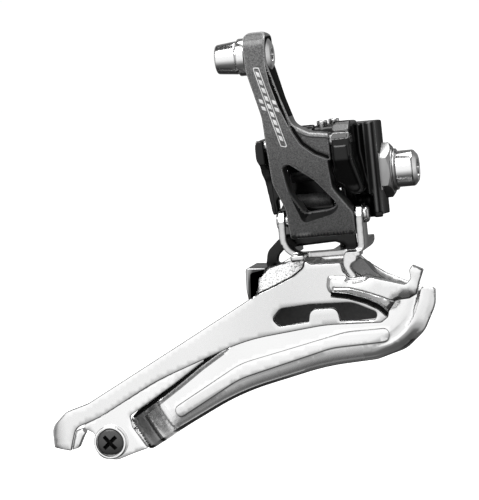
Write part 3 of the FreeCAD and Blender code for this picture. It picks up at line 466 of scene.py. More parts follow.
def inside(points, loop):
    """Whether each point is inside a loop."""
    x, y = points.T
    result = np.zeros(len(points), bool)
    for (x0, y0), (x1, y1) in zip(loop, np.roll(loop, -1, axis=0)):
        if y0 == y1:
            continue
        crosses = (y0 > y) != (y1 > y)
        result ^= crosses & (x < x0 + (y - y0) * (x1 - x0) / (y1 - y0))
    return result


def offset(line, distance, closed):
    """Line moved to its left by a distance."""
    if closed:
        tangent = np.roll(line, -1, axis=0) - np.roll(line, 1, axis=0)
    else:
        tangent = np.gradient(line, axis=0)
    tangent /= np.maximum(np.linalg.norm(tangent, axis=1), 1e-9)[:, None]
    return line + distance * np.stack([-tangent[:, 1], tangent[:, 0]], axis=1)


def strip(line, start, end):
    """Loop around the strip from one distance to another on the left of an open line."""
    return np.concatenate([offset(line, start, False), offset(line, end, False)[::-1]])


def turned(corners, angle):
    """Corners turned about the origin."""
    cosine, sine = math.cos(angle), math.sin(angle)
    return [(x * cosine - y * sine, x * sine + y * cosine) for x, y in corners]


def level(y):
    """Depth of a flat face."""
    return lambda points: np.full(len(points), y)


def curve(value, stops):
    """Straight runs through stops of (place, value)."""
    places, values = zip(*stops)
    return np.interp(value, places, values)


def ease(value, low, high):
    """Smooth step from 0 at low to 1 at high."""
    share = np.clip((value - low) / (high - low), 0, 1)
    return share * share * (3 - 2 * share)


# ---------------------------------------------------------------- mesh pieces


# Spacing of the grid's rows for even triangles, as a share of its pitch.
ROW_SPACING = 0.87


class Region:
    """Area inside an outline and outside of its holes, in X and Z."""

    def __init__(self, outline, holes):
        self.outline, self.holes = outline, holes
        self.loops = [outline, *holes]

    def holds(self, points):
        """Whether each point is in the area."""
        result = inside(points, self.outline)
        for hole in self.holes:
            result &= ~inside(points, hole)
        return result

    def to_border(self, points):
        """Distance of each point from the nearest loop."""
        return np.min([np.abs(distance_from(points, loop, True)) for loop in self.loops], axis=0)

    def rows_beside(self, details, border):
        """Points in rows beside the borders and the detail lines, none of them too near another border."""
        rows = []
        for loop in self.loops:
            for share in (0.1, 0.4, 1.0):
                for side in (-1, 1):
                    row = offset(loop, side * share * border, True)
                    row = row[self.holds(row)]
                    rows.append(row[self.to_border(row) > 0.9 * share * border])
        for line, distances in details:
            for distance in distances:
                row = offset(line, distance, False)
                row = row[self.holds(row)]
                rows.append(row[self.to_border(row) > 1.1 * border])
        return np.concatenate(rows)

    def grid(self, details, border, pitch):
        """Even grid of points, clear of the rows beside borders and detail lines."""
        low, high = self.outline.min(axis=0), self.outline.max(axis=0)
        rows = []
        for k, z in enumerate(np.arange(low[1], high[1], pitch * ROW_SPACING)):
            across = np.arange(low[0] + (k % 2) * pitch / 2, high[0], pitch)
            rows.append(np.stack([across, np.full(len(across), z)], axis=1))
        points = np.concatenate(rows)
        points = points[self.holds(points)]
        points = points[self.to_border(points) > border + 0.4 * pitch]
        for line, distances in details:
            gap = distance_from(points, line)
            keep = np.ones(len(points), bool)
            for distance in distances:
                keep &= np.abs(gap - distance) > 0.25 * pitch
            points = points[keep]
        return points

    def triangulate(self, seams, details, border, pitch):
        """Points and triangles that fill the area and follow its loops and seams."""
        loops = [*self.loops, *seams]
        edges, start = [], 0
        for loop in loops:
            count = len(loop)
            edges += [(start + i, start + (i + 1) % count) for i in range(count)]
            start += count
        beside, grid = self.rows_beside(details, border), self.grid(details, border, pitch)
        coords = np.concatenate([*loops, beside, grid])
        flat, _, triangles = delaunay_2d_cdt([Vector(p) for p in coords], edges, [], 0, 0.01)[:3]
        flat = np.array([tuple(p) for p in flat])
        triangles = np.array(triangles)
        triangles = triangles[self.holds(flat[triangles].mean(axis=1))]
        used = np.unique(triangles)
        index = np.full(len(flat), -1)
        index[used] = np.arange(len(used))
        return flat[used], index[triangles]


def rounding(distance, radius):
    """How far a face drops at a distance from its border, for a rounded edge."""
    inset = radius - np.minimum(distance, radius)
    return radius - np.sqrt(np.maximum(radius ** 2 - inset ** 2, 0))


class Mesh:
    """Faces gathered for one piece, in millimetres, each with a look."""

    def __init__(self):
        self.points, self.faces, self.looks = [], [], []

    def add(self, points, faces, looks):
        start = len(self.points)
        self.points.extend(map(tuple, points))
        self.faces.extend(tuple(start + i for i in face) for face in faces)
        self.looks.extend([looks] * len(faces) if isinstance(looks, str) else looks)

    def panel(self, outline, near, far, look, holes=(), details=(), pitch=1.0, edge=(0.3, 0.3), zones=(),
              seams=(), rim=None, side_zones=()):
        """Plate or forging seen along Y: outline and holes in X and Z, and the Y of its two faces.

        details are (line, distances) with extra points beside a line where the face turns quickly;
        edge is the radius of the near and far edges, zones are (loop, look) for parts of the near
        face with another finish, seams are loops that the faces must follow, rim is (width, look)
        for the near face's border, and side_zones are (loop, look) for parts of the narrow sides.
        """
        region = Region(outline, holes)
        flat, triangles = region.triangulate(seams, details, max(edge), pitch)
        distance = region.to_border(flat)
        near_y = near(flat) + rounding(distance, edge[0])
        far_y = far(flat) - rounding(distance, edge[1])
        points = np.concatenate([np.stack([flat[:, 0], y, flat[:, 1]], axis=1) for y in (near_y, far_y)])

        centres = flat[triangles].mean(axis=1)
        looks = [look] * len(triangles)
        for loop, zone_look in zones:
            for i in np.nonzero(inside(centres, loop))[0]:
                looks[i] = zone_look
        if rim:
            for i in np.nonzero(region.to_border(centres) < rim[0])[0]:
                looks[i] = rim[1]
        looks += [look] * len(triangles)

        count = len(flat)
        faces = [tuple(t) for t in triangles] + [tuple(count + t[::-1]) for t in triangles]
        edges = dict.fromkeys(pair for a, b, c in triangles for pair in ((a, b), (b, c), (c, a)))
        for a, b in edges:
            if (b, a) in edges:
                continue
            middle = (flat[a] + flat[b])[None, :] / 2
            faces.append((b, a, a + count, b + count))
            looks.append(next((side for loop, side in side_zones if inside(middle, loop)[0]), look))
        self.add(points, faces, looks)

    def bar(self, place, radius, x_low, x_high, look):
        """Round bar along X with bevelled ends."""
        around, bevel = 28, 0.3
        rings = [(x_low, radius - bevel), (x_low + bevel, radius), (x_high - bevel, radius),
                 (x_high, radius - bevel)]
        points, faces = [], []
        for x, reach in rings:
            for k in range(around):
                angle = 2 * math.pi * k / around
                points.append((x, place[0] + reach * math.cos(angle), place[1] + reach * math.sin(angle)))
        for ring in range(len(rings) - 1):
            for k in range(around):
                a, b = ring * around + k, ring * around + (k + 1) % around
                faces.append((b, a, a + around, b + around))
        faces.append(tuple(range(around)))
        faces.append(tuple(len(points) - 1 - k for k in range(around)))
        self.add(points, faces, look)

    def make(self, name, smooth):
        """Blender object of the gathered faces, smooth where they meet at less than this angle in degrees."""
        mesh = bpy.data.meshes.new(name)
        mesh.from_pydata([tuple(c * MM for c in point) for point in self.points], [], self.faces)
        names = sorted(set(self.looks))
        for look in names:
            mesh.materials.append(LOOKS[look])
        mesh.polygons.foreach_set("material_index", [names.index(look) for look in self.looks])
        mesh.validate()
        mesh.update()
        piece = bpy.data.objects.new(name, mesh)
        bpy.context.scene.collection.objects.link(piece)
        smooth_by_angle(mesh, smooth)
        return piece


def smooth_by_angle(mesh, angle):
    mesh.shade_smooth()
    mesh.set_sharp_from_angle(angle=math.radians(angle))


def apply_modifiers(piece):
    """Replace the piece's mesh with the result of its modifiers."""
    evaluated = piece.evaluated_get(bpy.context.evaluated_depsgraph_get())
    mesh = bpy.data.meshes.new_from_object(evaluated)
    piece.modifiers.clear()
    piece.data = mesh


def stand_for(piece, node, body):
    """Let a piece ride on a body in place of a CAD node."""
    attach(piece, body)
    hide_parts(node)


def bevelled(node, width, body):
    """Finer copy of a CAD piece: its flat faces joined and its edges rounded."""
    mesh = NODES[node].data.copy()
    work = bmesh.new()
    work.from_mesh(mesh)
    bmesh.ops.remove_doubles(work, verts=work.verts, dist=1e-6)
    bmesh.ops.dissolve_limit(work, angle_limit=math.radians(1.0), verts=work.verts, edges=work.edges)
    work.to_mesh(mesh)
    work.free()
    piece = bpy.data.objects.new(node + "_detail", mesh)
    bpy.context.scene.collection.objects.link(piece)
    bevel = piece.modifiers.new("bevel", "BEVEL")
    bevel.width = width * MM
    bevel.segments = 3
    bevel.limit_method = "ANGLE"
    bevel.angle_limit = math.radians(25.0)
    apply_modifiers(piece)
    piece.data.materials.clear()
    piece.data.materials.append(LOOKS[NODE_LOOKS[node]])
    smooth_by_angle(piece.data, 40.0)
    stand_for(piece, node, body)


def join(piece, extra):
    """Add another object's faces to a piece, keeping their looks."""
    materials = list(piece.data.materials)
    for material in extra.data.materials:
        if material not in materials:
            materials.append(material)
            piece.data.materials.append(material)
    places = [materials.index(material) for material in extra.data.materials]
    for face in extra.data.polygons:
        face.material_index = places[face.material_index]
    work = bmesh.new()
    work.from_mesh(piece.data)
    work.from_mesh(extra.data)
    work.to_mesh(piece.data)
    work.free()
    bpy.data.objects.remove(extra)


def softened(node, voxel, passes, body, extra=None):
    """Forged look: the CAD piece remade in small even faces, with all of its edges rounded by smoothing."""
    piece = bpy.data.objects.new(node + "_detail", NODES[node].data.copy())
    bpy.context.scene.collection.objects.link(piece)
    remesh = piece.modifiers.new("remesh", "REMESH")
    remesh.mode = "VOXEL"
    remesh.voxel_size = voxel * MM
    smooth = piece.modifiers.new("smooth", "SMOOTH")
    smooth.factor = 0.5
    smooth.iterations = passes
    apply_modifiers(piece)
    piece.data.materials.clear()
    piece.data.materials.append(LOOKS[NODE_LOOKS[node]])
    if extra:
        join(piece, extra)
    smooth_by_angle(piece.data, 60.0)
    stand_for(piece, node, body)
    return piece


# ---------------------------------------------------------------- mount

LOBE = rounded([
    (-5.3, 8.8, 1.0), (-0.45, 8.8, 1.0), (-0.4, 4.0, 3.0), (1.0, -3.2, 0.8), (0.2, -4.5, 0.6),
    (-1.6, -4.6, 1.0), (-5.6, -1.3, 1.2), (-5.9, 1.8, 0.6), (-5.3, 3.0, 0.6)], 0.4)
EAR_BAND = rounded([
    (-5.2, 9.5, 0.3), (-5.2, 10.4, 0.6), (-4.6, 11.3, 0.6), (-0.5, 11.2, 0.3), (-0.6, 9.6, 0.4)], 0.3)
EAR_FACET = rounded([(-4.8, 13.2, 0.5), (-0.75, 13.1, 0.4), (-0.75, 11.7, 0.3), (-4.7, 11.7, 0.3)], 0.3)
PILLAR = rounded([
    (1.2, 12.7, 0.3), (4.3, 12.7, 0.3), (4.3, -9.9, 0.3), (2.3, -9.9, 0.3), (2.3, -5.2, 0.3),
    (1.2, -5.2, 0.3)], 0.4)
CHEEK_FOOT = rounded([
    (-25.2, 6.0, 2.0), (-24.9, 2.4, 3.0), (-23.9, -0.4, 3.0), (-23.0, -4.5), (-22.1, -8.4, 0.3),
    (-21.5, -8.4, 0.2), (-21.5, -4.8, 0.3), (-20.6, -4.0, 0.3), (-20.7, -1.8, 0.3), (-21.5, -1.2, 0.3),
    (-21.5, 6.0, 0.5)], 0.4)
EAR_WEB = rounded([(-6.15, -1.2, 0.2), (-5.2, -1.2, 0.2), (-5.2, -6.2, 0.2), (-6.1, -6.2, 0.4)], 0.4)


def lobe_near(points):
    """Depth of the front ear's lobe, which stands out at its top."""
    return curve(points[:, 1], [(-4.6, -12.7), (-2.0, -13.0), (4.5, -16.4), (8.8, -16.4)])


def ear_slope(lift):
    """Depth of the front ear's sloping top, lifted from it by a distance."""
    return lambda points: curve(points[:, 1], [(9.5, -16.2), (11.3, -15.4), (13.9, -11.6)]) - lift


def pillar_near(points):
    """Depth of the seat's convex near pillar."""
    middle, half_width = 2.8, 1.7
    return -5.6 - 1.1 * (1 - ((points[:, 0] - middle) / half_width) ** 2)


def narrow_rear_cheek(piece):
    """Narrow the rear cheek towards its near side and round it off near its ends."""
    cheek_top, cheek_foot, bend = 8.8, 7.0, 0.16
    for vertex in piece.data.vertices:
        place = vertex.co / MM
        limit = curve(place.y, [(-10.0, -24.2), (-8.0, -25.4)])
        limit += bend * max(place.z - cheek_top, 0) ** 2
        if place.y < -8.6:
            limit += bend * max(cheek_foot - place.z, 0) ** 2
        vertex.co.x = max(vertex.co.x, min(limit, -22.6) * MM)


def build_mount_body():
    """Mount, with the front ear's facet, band and lobe, and the seat's rounded near pillar; the facet's light
    grey, the band's light rim and the pillar's lighter bands are painted highlights.
    """
    mesh = Mesh()
    mesh.panel(LOBE, lobe_near, level(-8.0), "gloss_black", pitch=0.5, edge=(1.3, 0.3))
    mesh.panel(EAR_BAND, ear_slope(0.3), ear_slope(-0.5), "gloss_black", pitch=0.5, edge=(0.25, 0.1),
               rim=(0.2, "satin_rim"))
    # Painted highlight: the facet is light grey satin on the black mount, standing in for the light it
    # reflects.
    mesh.panel(EAR_FACET, ear_slope(0.2), ear_slope(-0.5), "satin_grey", pitch=0.6, edge=(0.2, 0.1))
    mesh.panel(PILLAR, pillar_near, level(-4.8), "sheen_black", pitch=0.5, edge=(0.4, 0.2))
    mesh.panel(EAR_WEB, level(-2.95), level(-1.0), "gloss_black", pitch=0.6, edge=(0.2, 0.2))
    mesh.panel(CHEEK_FOOT, level(-8.1), level(-4.6), "gloss_black", pitch=0.8, edge=(0.6, 0.3))
    details = mesh.make("mount_details", 40.0)
    narrow_rear_cheek(softened("mount_body", 0.3, 12, "mount", details))


# ---------------------------------------------------------------- links and cable arm


def build_inner_link():
    """Inner link, with two round bars across it that show in the outer link's window; their satin greys,
    lighter than the link's black, are painted light: the lower bar lit, the upper one in shade.
    """
    mesh = Mesh()
    mesh.bar((-0.75, -5.9), 2.2, -18.6, -8.9, "satin_grey")
    mesh.bar((-2.2, 0.5), 1.5, -18.6, -8.9, "satin_dark")
    softened("inner_link", 0.25, 4, "inner_arm", mesh.make("bars", 40.0))


# The outer link's near and far faces seen from the front, as (Y, Z).
LINK_NEAR = rounded([
    (-13.0, 37.6), (-18.0, 36.3, 4.0), (-18.0, 27.7, 6.0), (-16.5, 12.3, 12.0), (-12.45, -9.77, 2.0),
    (-11.55, -14.27, 2.0), (-8.45, -14.67)], 0.3, False)
LINK_FAR = rounded([
    (-13.0, 37.6), (-8.0, 36.3, 4.0), (-8.0, 27.7, 4.0), (-9.3, 20.7, 6.0), (-9.3, 9.3, 6.0),
    (-4.85, -8.77, 2.0), (-6.05, -13.67, 1.0), (-8.45, -14.67)], 0.3, False)
# Its outline and the lines on its near face, as (X, Z).
LINK_FACE = rounded([
    (-24.2, 35.2, 2.0), (-24.1, 28.5, 8.0), (-21.5, 16.5, 10.0), (-21.1, 0.0, 6.0), (-18.7, -6.6, 3.0),
    (-18.4, -14.5, 0.6), (-1.95, -14.5, 0.6), (-1.95, -8.8, 2.0), (-4.5, -5.0, 2.0), (-6.3, -2.3, 3.0),
    (-6.6, 4.6, 0.3), (-5.9, 4.8, 0.3), (-5.7, 11.2, 0.4), (-10.5, 11.9, 4.0), (-14.4, 14.2, 3.0),
    (-16.4, 20.8, 8.0), (-18.9, 30.0, 12.0), (-18.5, 37.5, 1.6), (-24.0, 37.5, 2.2)], 0.5)
LINK_RIM = rounded([
    (-18.2, 36.1), (-19.1, 30.0, 6.0), (-18.5, 24.9, 8.0), (-17.0, 19.0, 8.0), (-14.4, 12.2, 8.0),
    (-12.7, 9.0, 4.0), (-9.7, 6.4, 4.0), (-5.8, 4.5)], 0.4, False)
LINK_LIP = rounded([
    (-16.9, 22.5), (-16.1, 19.4, 4.0), (-14.3, 14.1, 3.0), (-10.5, 11.9, 4.0), (-5.4, 11.2)], 0.4, False)
LINK_WINDOW = rounded([
    (-18.3, 4.2, 1.2), (-16.4, 4.7, 1.2), (-10.6, -0.1, 8.0), (-4.9, -7.0, 1.4), (-7.2, -8.8, 2.0),
    (-14.6, -10.5, 1.2), (-17.4, -2.6, 8.0)], 0.5)
LINK_HOLE = rounded([
    (-18.1, 3.9, 1.0), (-16.3, 4.4, 1.0), (-10.6, 0.1, 8.0), (-5.3, -6.6, 1.2), (-8.2, -7.7, 1.5),
    (-14.3, -8.2, 1.0), (-17.2, -2.6, 8.0)], 0.5)
LINK_FOOT = rounded([(-19.5, -13.5), (-19.5, -16.0), (-1.0, -16.0), (-1.0, -13.5)], 0.5)


def link_near(points):
    """Depth of the outer link's near face."""
    y = np.interp(points[:, 1], LINK_NEAR[::-1, 1], LINK_NEAR[::-1, 0])
    # Beyond the rim the face drops to a groove, then to a pocket with a lip along its top.
    past = distance_from(points, LINK_RIM)
    step = curve(past, [(0.0, 0.0), (0.2, 0.75), (0.45, 1.0), (0.9, 1.0), (1.15, 0.7), (1.4, 0.65)])
    below_lip = -distance_from(points, LINK_LIP)
    lip = curve(below_lip, [(0.0, 0.5), (0.85, -0.35), (1.15, 0.0)])
    y = y + step + lip * ease(past, 0.9, 1.5)
    # The window's lower edge slopes inwards.
    depth = np.abs(distance_from(points, LINK_WINDOW, True))
    return y + np.where(inside(points, LINK_WINDOW), np.minimum(depth * 2.0, 3.6), 0.0)


def link_far(points):
    """Depth of the outer link's far face, hollowed between its hubs."""
    y = np.interp(points[:, 1], LINK_FAR[::-1, 1], LINK_FAR[::-1, 0])
    between = ease(points[:, 0], -18.9, -18.2) * (1 - ease(points[:, 0], -8.0, -7.2))
    between *= ease(points[:, 1], -5.6, -5.0) * (1 - ease(points[:, 1], 4.8, 5.4))
    # Relief for the cage bracket's rear ear.
    relief = (points[:, 0] < -18.9) & (points[:, 1] > -7.4) & (points[:, 1] < -1.3)
    return np.where(relief, np.minimum(y - 1.1 * between, -9.8), y - 1.1 * between)


def build_outer_link():
    """Outer link and cable arm, with the arm's side, the rim, the groove and the window's slope; the black
    arm side and groove, the dark foot and window slope are painted shade, and the light rim is a painted
    highlight.
    """
    mesh = Mesh()
    arm_rim = LINK_RIM[LINK_RIM[:, 1] > 13.6]
    arm_side = np.concatenate([arm_rim, [(-15.2, 14.9), (-16.2, 18.6), (-17.0, 22.0), (-16.4, 22.8),
                                         (-5.0, 22.8), (-5.0, 38.5), (-18.3, 38.5)]])
    arm_edge = np.array([(-16.6, 16.0), (-5.0, 16.0), (-5.0, 36.4), (-19.6, 36.4), (-19.8, 29.0),
                         (-17.6, 20.0)])
    groove = strip(LINK_RIM[LINK_RIM[:, 1] < 14.0], 0.2, 0.9)
    details = [(LINK_RIM, (-0.15, 0.0, 0.2, 0.45, 0.9, 1.15, 1.4)), (LINK_LIP, (-0.45, -0.85, -1.15)),
               (LINK_WINDOW, (0.0, -0.2, 0.2))]
    # Painted shade on the foot, the window's slope, the arm's side and its narrow edges, and the groove;
    # painted highlight along the rim.
    zones = [(LINK_FOOT, "satin_dark"), (LINK_WINDOW, "satin_dark"), (arm_side, "groove_black"),
             (strip(LINK_RIM, -0.15, 0.0), "satin_rim"), (groove, "groove_black")]
    mesh.panel(LINK_FACE, link_near, link_far, "satin_grey", [LINK_HOLE], details, 0.8, (0.4, 0.4), zones,
               [LINK_WINDOW, arm_side], (0.3, "satin_rim"), [(arm_edge, "groove_black")])
    stand_for(mesh.make("outer_link_detail", 38.0), "outer_link", "outer_arm")


LABEL_CORNERS = [(-22.2, 29.1), (-20.6, 28.9), (-15.9, 8.7), (-17.6, 9.1)]


def build_label():
    """Plain printed graphic on the arm: a framed strip of slanting bars and a pair of marks on each side."""
    mesh = Mesh()
    thickness = 0.05
    top_left, top_right, low_right, low_left = (np.array(corner) for corner in LABEL_CORNERS)

    def place(across, down):
        top = top_left + (top_right - top_left) * across
        low = low_left + (low_right - low_left) * across
        return tuple(top + (low - top) * down)

    def box(left, right, high, low, slant=0.0):
        return [place(left, high), place(right, high + slant), place(right, low + slant), place(left, low)]

    def ink(corners, holes=()):
        loops = [rounded(loop, 0.4) for loop in (corners, *holes)]
        mesh.panel(loops[0], lambda p: link_near(p) - thickness, lambda p: link_near(p) + thickness,
                   "label_white", loops[1:], pitch=0.8, edge=(0.02, 0.02))

    strip_outline = [(*corner, 0.4) for corner in box(0.0, 1.0, 0.0, 1.0)]
    strip_inside = [(*corner, 0.3) for corner in box(0.13, 0.87, 0.012, 0.988)]
    ink(strip_outline, [strip_inside])
    bars = 9
    for k in range(bars):
        high = 0.05 + 0.9 * k / bars
        ink(box(0.26, 0.74, high, high + 0.062, 0.014))
    for left, right in ((-0.75, -0.2), (1.2, 1.75)):
        for high in (0.40, 0.49):
            ink(box(left, right, high, high + 0.05, 0.012))
    piece = mesh.make("arm_graphic", 30.0)
    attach(piece, "outer_arm")


# ---------------------------------------------------------------- cage

OUTER_Y, OUTER_THICK = -17.6, 1.4
# Outlines and lines on the outer plate, as (X, Z).
BLADE = rounded([
    (-83.9, -61.7), (-83.9, -56.5, 4.0), (-79.3, -52.6, 3.0), (-73.5, -50.9, 6.0), (-48.0, -37.6, 60.0),
    (-31.1, -28.7, 3.0), (-26.9, -26.4, 0.5), (-26.5, -22.0, 0.6), (-23.5, -20.3, 3.0),
    (-18.6, -19.2, 3.0), (-14.6, -19.2, 0.8), (-12.6, -20.2, 1.5), (-5.4, -20.4, 0.5), (-5.1, -22.6, 1.2),
    (-3.2, -24.3, 1.0), (0.6, -24.1, 2.0), (10.2, -26.9, 1.2), (11.6, -25.4, 0.6), (11.4, -23.4, 0.6),
    (12.2, -22.3, 0.3), (14.8, -23.6, 0.4), (13.5, -26.6, 1.0), (12.7, -29.5, 1.2), (10.6, -30.5, 0.8),
    (7.3, -30.7, 0.8), (5.2, -33.4, 0.6), (4.9, -34.7, 0.5), (3.2, -35.9, 0.8), (-10.7, -35.5, 40.0),
    (-31.1, -37.8, 50.0), (-55.0, -46.4, 60.0), (-70.6, -54.6, 20.0), (-77.3, -56.9, 3.0),
    (-79.2, -62.6, 0.3)], 0.6)
BLADE_WINDOW = rounded([
    (-23.9, -33.0, 1.0), (-21.6, -30.6, 2.0), (-14.0, -30.1, 8.0), (-3.4, -30.4, 8.0), (2.6, -33.4, 1.4),
    (1.6, -35.1, 0.8), (-6.9, -34.7, 0.3), (-7.4, -31.3, 2.6), (-14.2, -31.3, 2.6), (-14.8, -34.3, 0.3),
    (-22.3, -34.9, 1.0)], 0.5)
FACET = rounded([
    (-31.5, -28.6), (-28.3, -27.0), (-22.3, -24.8, 6.0), (-17.5, -22.8, 4.0), (-14.8, -20.9, 2.0),
    (-14.1, -18.4)], 0.5, False)
RIB = rounded([
    (-7.5, -26.3), (-3.1, -26.7, 6.0), (0.3, -27.8, 6.0), (3.6, -29.1, 6.0), (7.3, -30.8)], 0.4, False)
RIB_TOP = [(-4.4, -23.8, 0.5), (-3.2, -24.9, 1.0)]
RIB_FOOT = [
    (7.5, -30.6, 0.6), (5.1, -33.1, 0.4), (3.3, -31.6, 2.0), (0.1, -29.9, 4.0), (-4.3, -28.5, 4.0),
    (-8.9, -27.6, 1.2)]
RIB_BULGE = rounded([
    (-9.4, -26.0, 1.5), (-8.9, -23.3, 1.0), (-6.2, -23.5), *RIB_TOP, (0.3, -24.6, 0.6), (1.6, -22.0),
    (16.0, -19.0), (16.0, -29.8), (8.6, -30.3, 0.6), *RIB_FOOT], 0.4)
RIB_EDGE = rounded([
    (0.3, -24.6), *RIB_TOP[::-1], (-6.2, -23.5), (-8.9, -23.3, 1.0), (-9.4, -26.0, 1.5), *RIB_FOOT[::-1],
    (8.6, -30.3)], 0.4, False)
GROOVE = rounded([
    (-8.6, -28.0), (-4.4, -28.8, 4.0), (-0.2, -30.3, 4.0), (3.1, -32.1, 3.0), (5.1, -34.2)], 0.4, False)


def blade_near(points):
    """Depth of the outer plate's near face."""
    y = np.full(len(points), OUTER_Y)
    x, z = points.T
    # Rough facet at the top rear, tilted back from its crease.
    above = distance_from(points, FACET)
    crease = curve(above, [(-0.3, 0.0), (-0.1, 0.15), (0.1, 0.15), (0.3, 0.0)])
    behind_bracket = (x < -13.5) & (z > -30)
    y += (0.42 * np.maximum(above, 0) + crease) * behind_bracket
    # The tail's end curves inboard.
    y += 0.05 * np.maximum(-78.5 - x, 0) ** 2
    # Rib: a bulge with a fine crease along it and a groove beneath it.
    into = np.abs(distance_from(points, RIB_BULGE, True)) * inside(points, RIB_BULGE)
    crest = distance_from(points, RIB)
    y -= 1.1 * ease(into, 0.0, 0.9) + 0.25 * ease(into, 0.8, 2.0)
    y += curve(crest, [(-0.35, 0.0), (0.0, 0.35), (0.35, 0.0)]) * (into > 0.3)
    below = np.abs(distance_from(points, GROOVE))
    along_rib = (x > -8.4) & (z > -34.4)
    return y + 0.5 * (1 - ease(below, 0.35, 0.7)) * along_rib


def blade_far(points):
    """Depth of the outer plate's far face, which stays flat behind what juts out."""
    return OUTER_Y + OUTER_THICK + np.maximum(blade_near(points) - OUTER_Y, 0)


TAIL_BAND = rounded([
    (-76.5, -56.8, 1.0), (-66.0, -51.0), (-44.0, -41.0), (-42.4, -42.2, 1.0), (-51.4, -48.0, 10.0),
    (-63.3, -55.0, 0.8), (-62.9, -57.6, 1.5), (-59.4, -63.4, 0.4), (-63.0, -64.4, 3.0),
    (-67.6, -65.9, 3.5), (-73.0, -65.1, 4.2), (-72.8, -58.8, 1.5)], 0.6)
TAIL_FOLD = rounded([
    (-79.2, -62.6), (-78.4, -58.0, 1.0), (-76.0, -57.4), (-75.4, -58.4), (-76.2, -59.6, 1.0),
    (-77.6, -62.2)], 0.5)


def build_outer_plate():
    """Outer plate, with its facet, rib and groove, the band behind its tail and the fold at its hook."""
    mesh = Mesh()
    facet = np.concatenate([FACET, [(-14.0, -15.0), (-34.0, -15.0), (-34.0, -28.6)]])
    rib_outer, rib_inner = offset(RIB_BULGE, -0.12, True), offset(RIB_BULGE, 0.12, True)
    crest, crease, groove = strip(RIB, -0.12, 0.12), strip(FACET, -0.16, 0.16), strip(GROOVE, -0.45, 0.45)
    details = [(FACET, (-0.3, -0.1, 0.1, 0.3)), (RIB, (-0.35, 0.0, 0.35)), (GROOVE, (-0.7, 0.0, 0.7)),
               (RIB_EDGE, (0.0, 0.3, 0.6, 0.9, 1.4, 2.0))]
    # Painted shade: dark lines around the rib and along its crest, black in the groove and the facet's
    # crease, and a dark rim along the border.
    zones = [(facet, "cast_chrome"), (rib_outer, "brushed_steel"), (rib_inner, "satin_chrome"),
             (crest, "dark_steel"), (groove, "groove_black"), (crease, "groove_black")]
    mesh.panel(BLADE, blade_near, blade_far, "satin_chrome", [BLADE_WINDOW], details, 1.1, (0.4, 0.3), zones,
               [groove, crease, rib_outer, rib_inner, crest], (0.2, "dark_steel"))
    back = OUTER_Y + OUTER_THICK
    mesh.panel(TAIL_BAND, level(back), level(back + 1.4), "bright_chrome", pitch=1.2, edge=(0.25, 0.25))
    mesh.panel(TAIL_FOLD, level(back), level(-13.4), "bright_chrome", pitch=1.2, edge=(0.2, 0.2))
    stand_for(mesh.make("outer_cage_plate_detail", 30.0), "outer_cage_plate", "cage")


INNER_Y, INNER_THICK = -5.0, 1.2
# Outlines and lines on the inner plate, as (X, Z).
LOWER_EDGE = [
    (-36.7, -53.1, 120.0), (-14.0, -47.7, 60.0), (-1.0, -46.9, 8.0), (6.6, -44.7, 7.0),
    (11.6, -40.5, 8.0), (15.0, -34.0, 8.0)]
INNER_BLADE = rounded([
    (-63.2, -55.6, 0.3), (-61.8, -54.0, 0.5), (-52.2, -46.0, 20.0), (-38.0, -37.6, 20.0),
    (-29.6, -31.0, 3.0), (-27.0, -22.2, 3.0), (-26.0, -17.4, 3.0), (-22.9, -14.6, 3.0), (-21.4, -14.0),
    (-21.4, -17.0), (-23.2, -18.6, 2.0), (-23.6, -21.0, 0.7), (-20.0, -19.2), (-3.2, -19.6, 0.6),
    (-0.8, -22.0, 1.0), (3.4, -25.1, 3.0), (8.6, -27.7, 3.0), (13.2, -29.4, 0.6), (15.3, -30.0, 0.7),
    *LOWER_EDGE[::-1], (-50.5, -59.9, 80.0), (-56.2, -62.9, 10.0), (-59.5, -64.3, 0.6),
    (-61.3, -61.4, 1.0), (-63.4, -57.2, 2.0)], 0.6)
INNER_EDGE = rounded([(-64.0, -66.5), (-50.5, -59.9, 80.0), *LOWER_EDGE, (15.6, -28.0)], 0.6, False)
INNER_BEAD = rounded([
    (-54.6, -55.6, 1.5), (-36.0, -45.3, 20.0), (-8.0, -39.2, 20.0), (3.0, -39.0, 3.0), (2.4, -42.4, 1.5),
    (-12.0, -43.0, 20.0), (-36.6, -49.2, 20.0), (-53.4, -58.4, 1.5)], 0.5)
INNER_FOLD = rounded([
    (-63.0, -55.3), (-58.5, -52.6, 8.0), (-52.8, -48.9, 20.0), (-46.7, -44.7, 20.0),
    (-40.0, -40.6)], 0.5, False)
NOSE_CREASE = rounded([
    (13.2, -26.5), (11.8, -29.3), (10.7, -33.1, 10.0), (9.1, -37.1, 6.0), (6.8, -40.1, 4.0),
    (3.4, -42.6, 6.0), (-2.0, -44.3)], 0.5, False)
TAIL_SEAM = rounded([(-63.8, -50.0), (-63.3, -56.0, 3.0), (-59.0, -64.2, 20.0), (-57.6, -68.0)], 0.5, False)
TAIL_TAB = rounded([
    (-72.0, -58.4, 3.0), (-70.0, -57.0, 2.0), (-62.8, -56.4, 0.6), (-59.5, -63.4, 0.4),
    (-63.0, -64.2, 3.0), (-67.6, -65.2, 3.5), (-72.4, -64.6, 4.0)], 0.7)
# Painted shadow: a black patch on the inner plate where it shows through the outer plate's window.
WINDOW_SHADOW_PATCH = rounded([(-27.9, -36.7, 1.0), (-27.9, -30.8, 1.0), (0.2, -30.8, 2.0), (0.2, -36.4, 1.0)], 0.6)
STRAP = np.array([(-28.5, -21.5), (-28.5, -12.0), (-20.0, -12.0), (-20.0, -18.6), (-23.0, -21.5)])

# Inboard roll of the lower edge: distance from the edge and depth, with a narrow step.
INNER_ROLL = [
    (0.0, 1.25), (0.5, 0.95), (0.85, 0.76), (1.05, 0.74), (1.4, 0.6), (2.0, 0.40), (3.0, 0.18),
    (4.0, 0.07), (5.5, 0.0)]
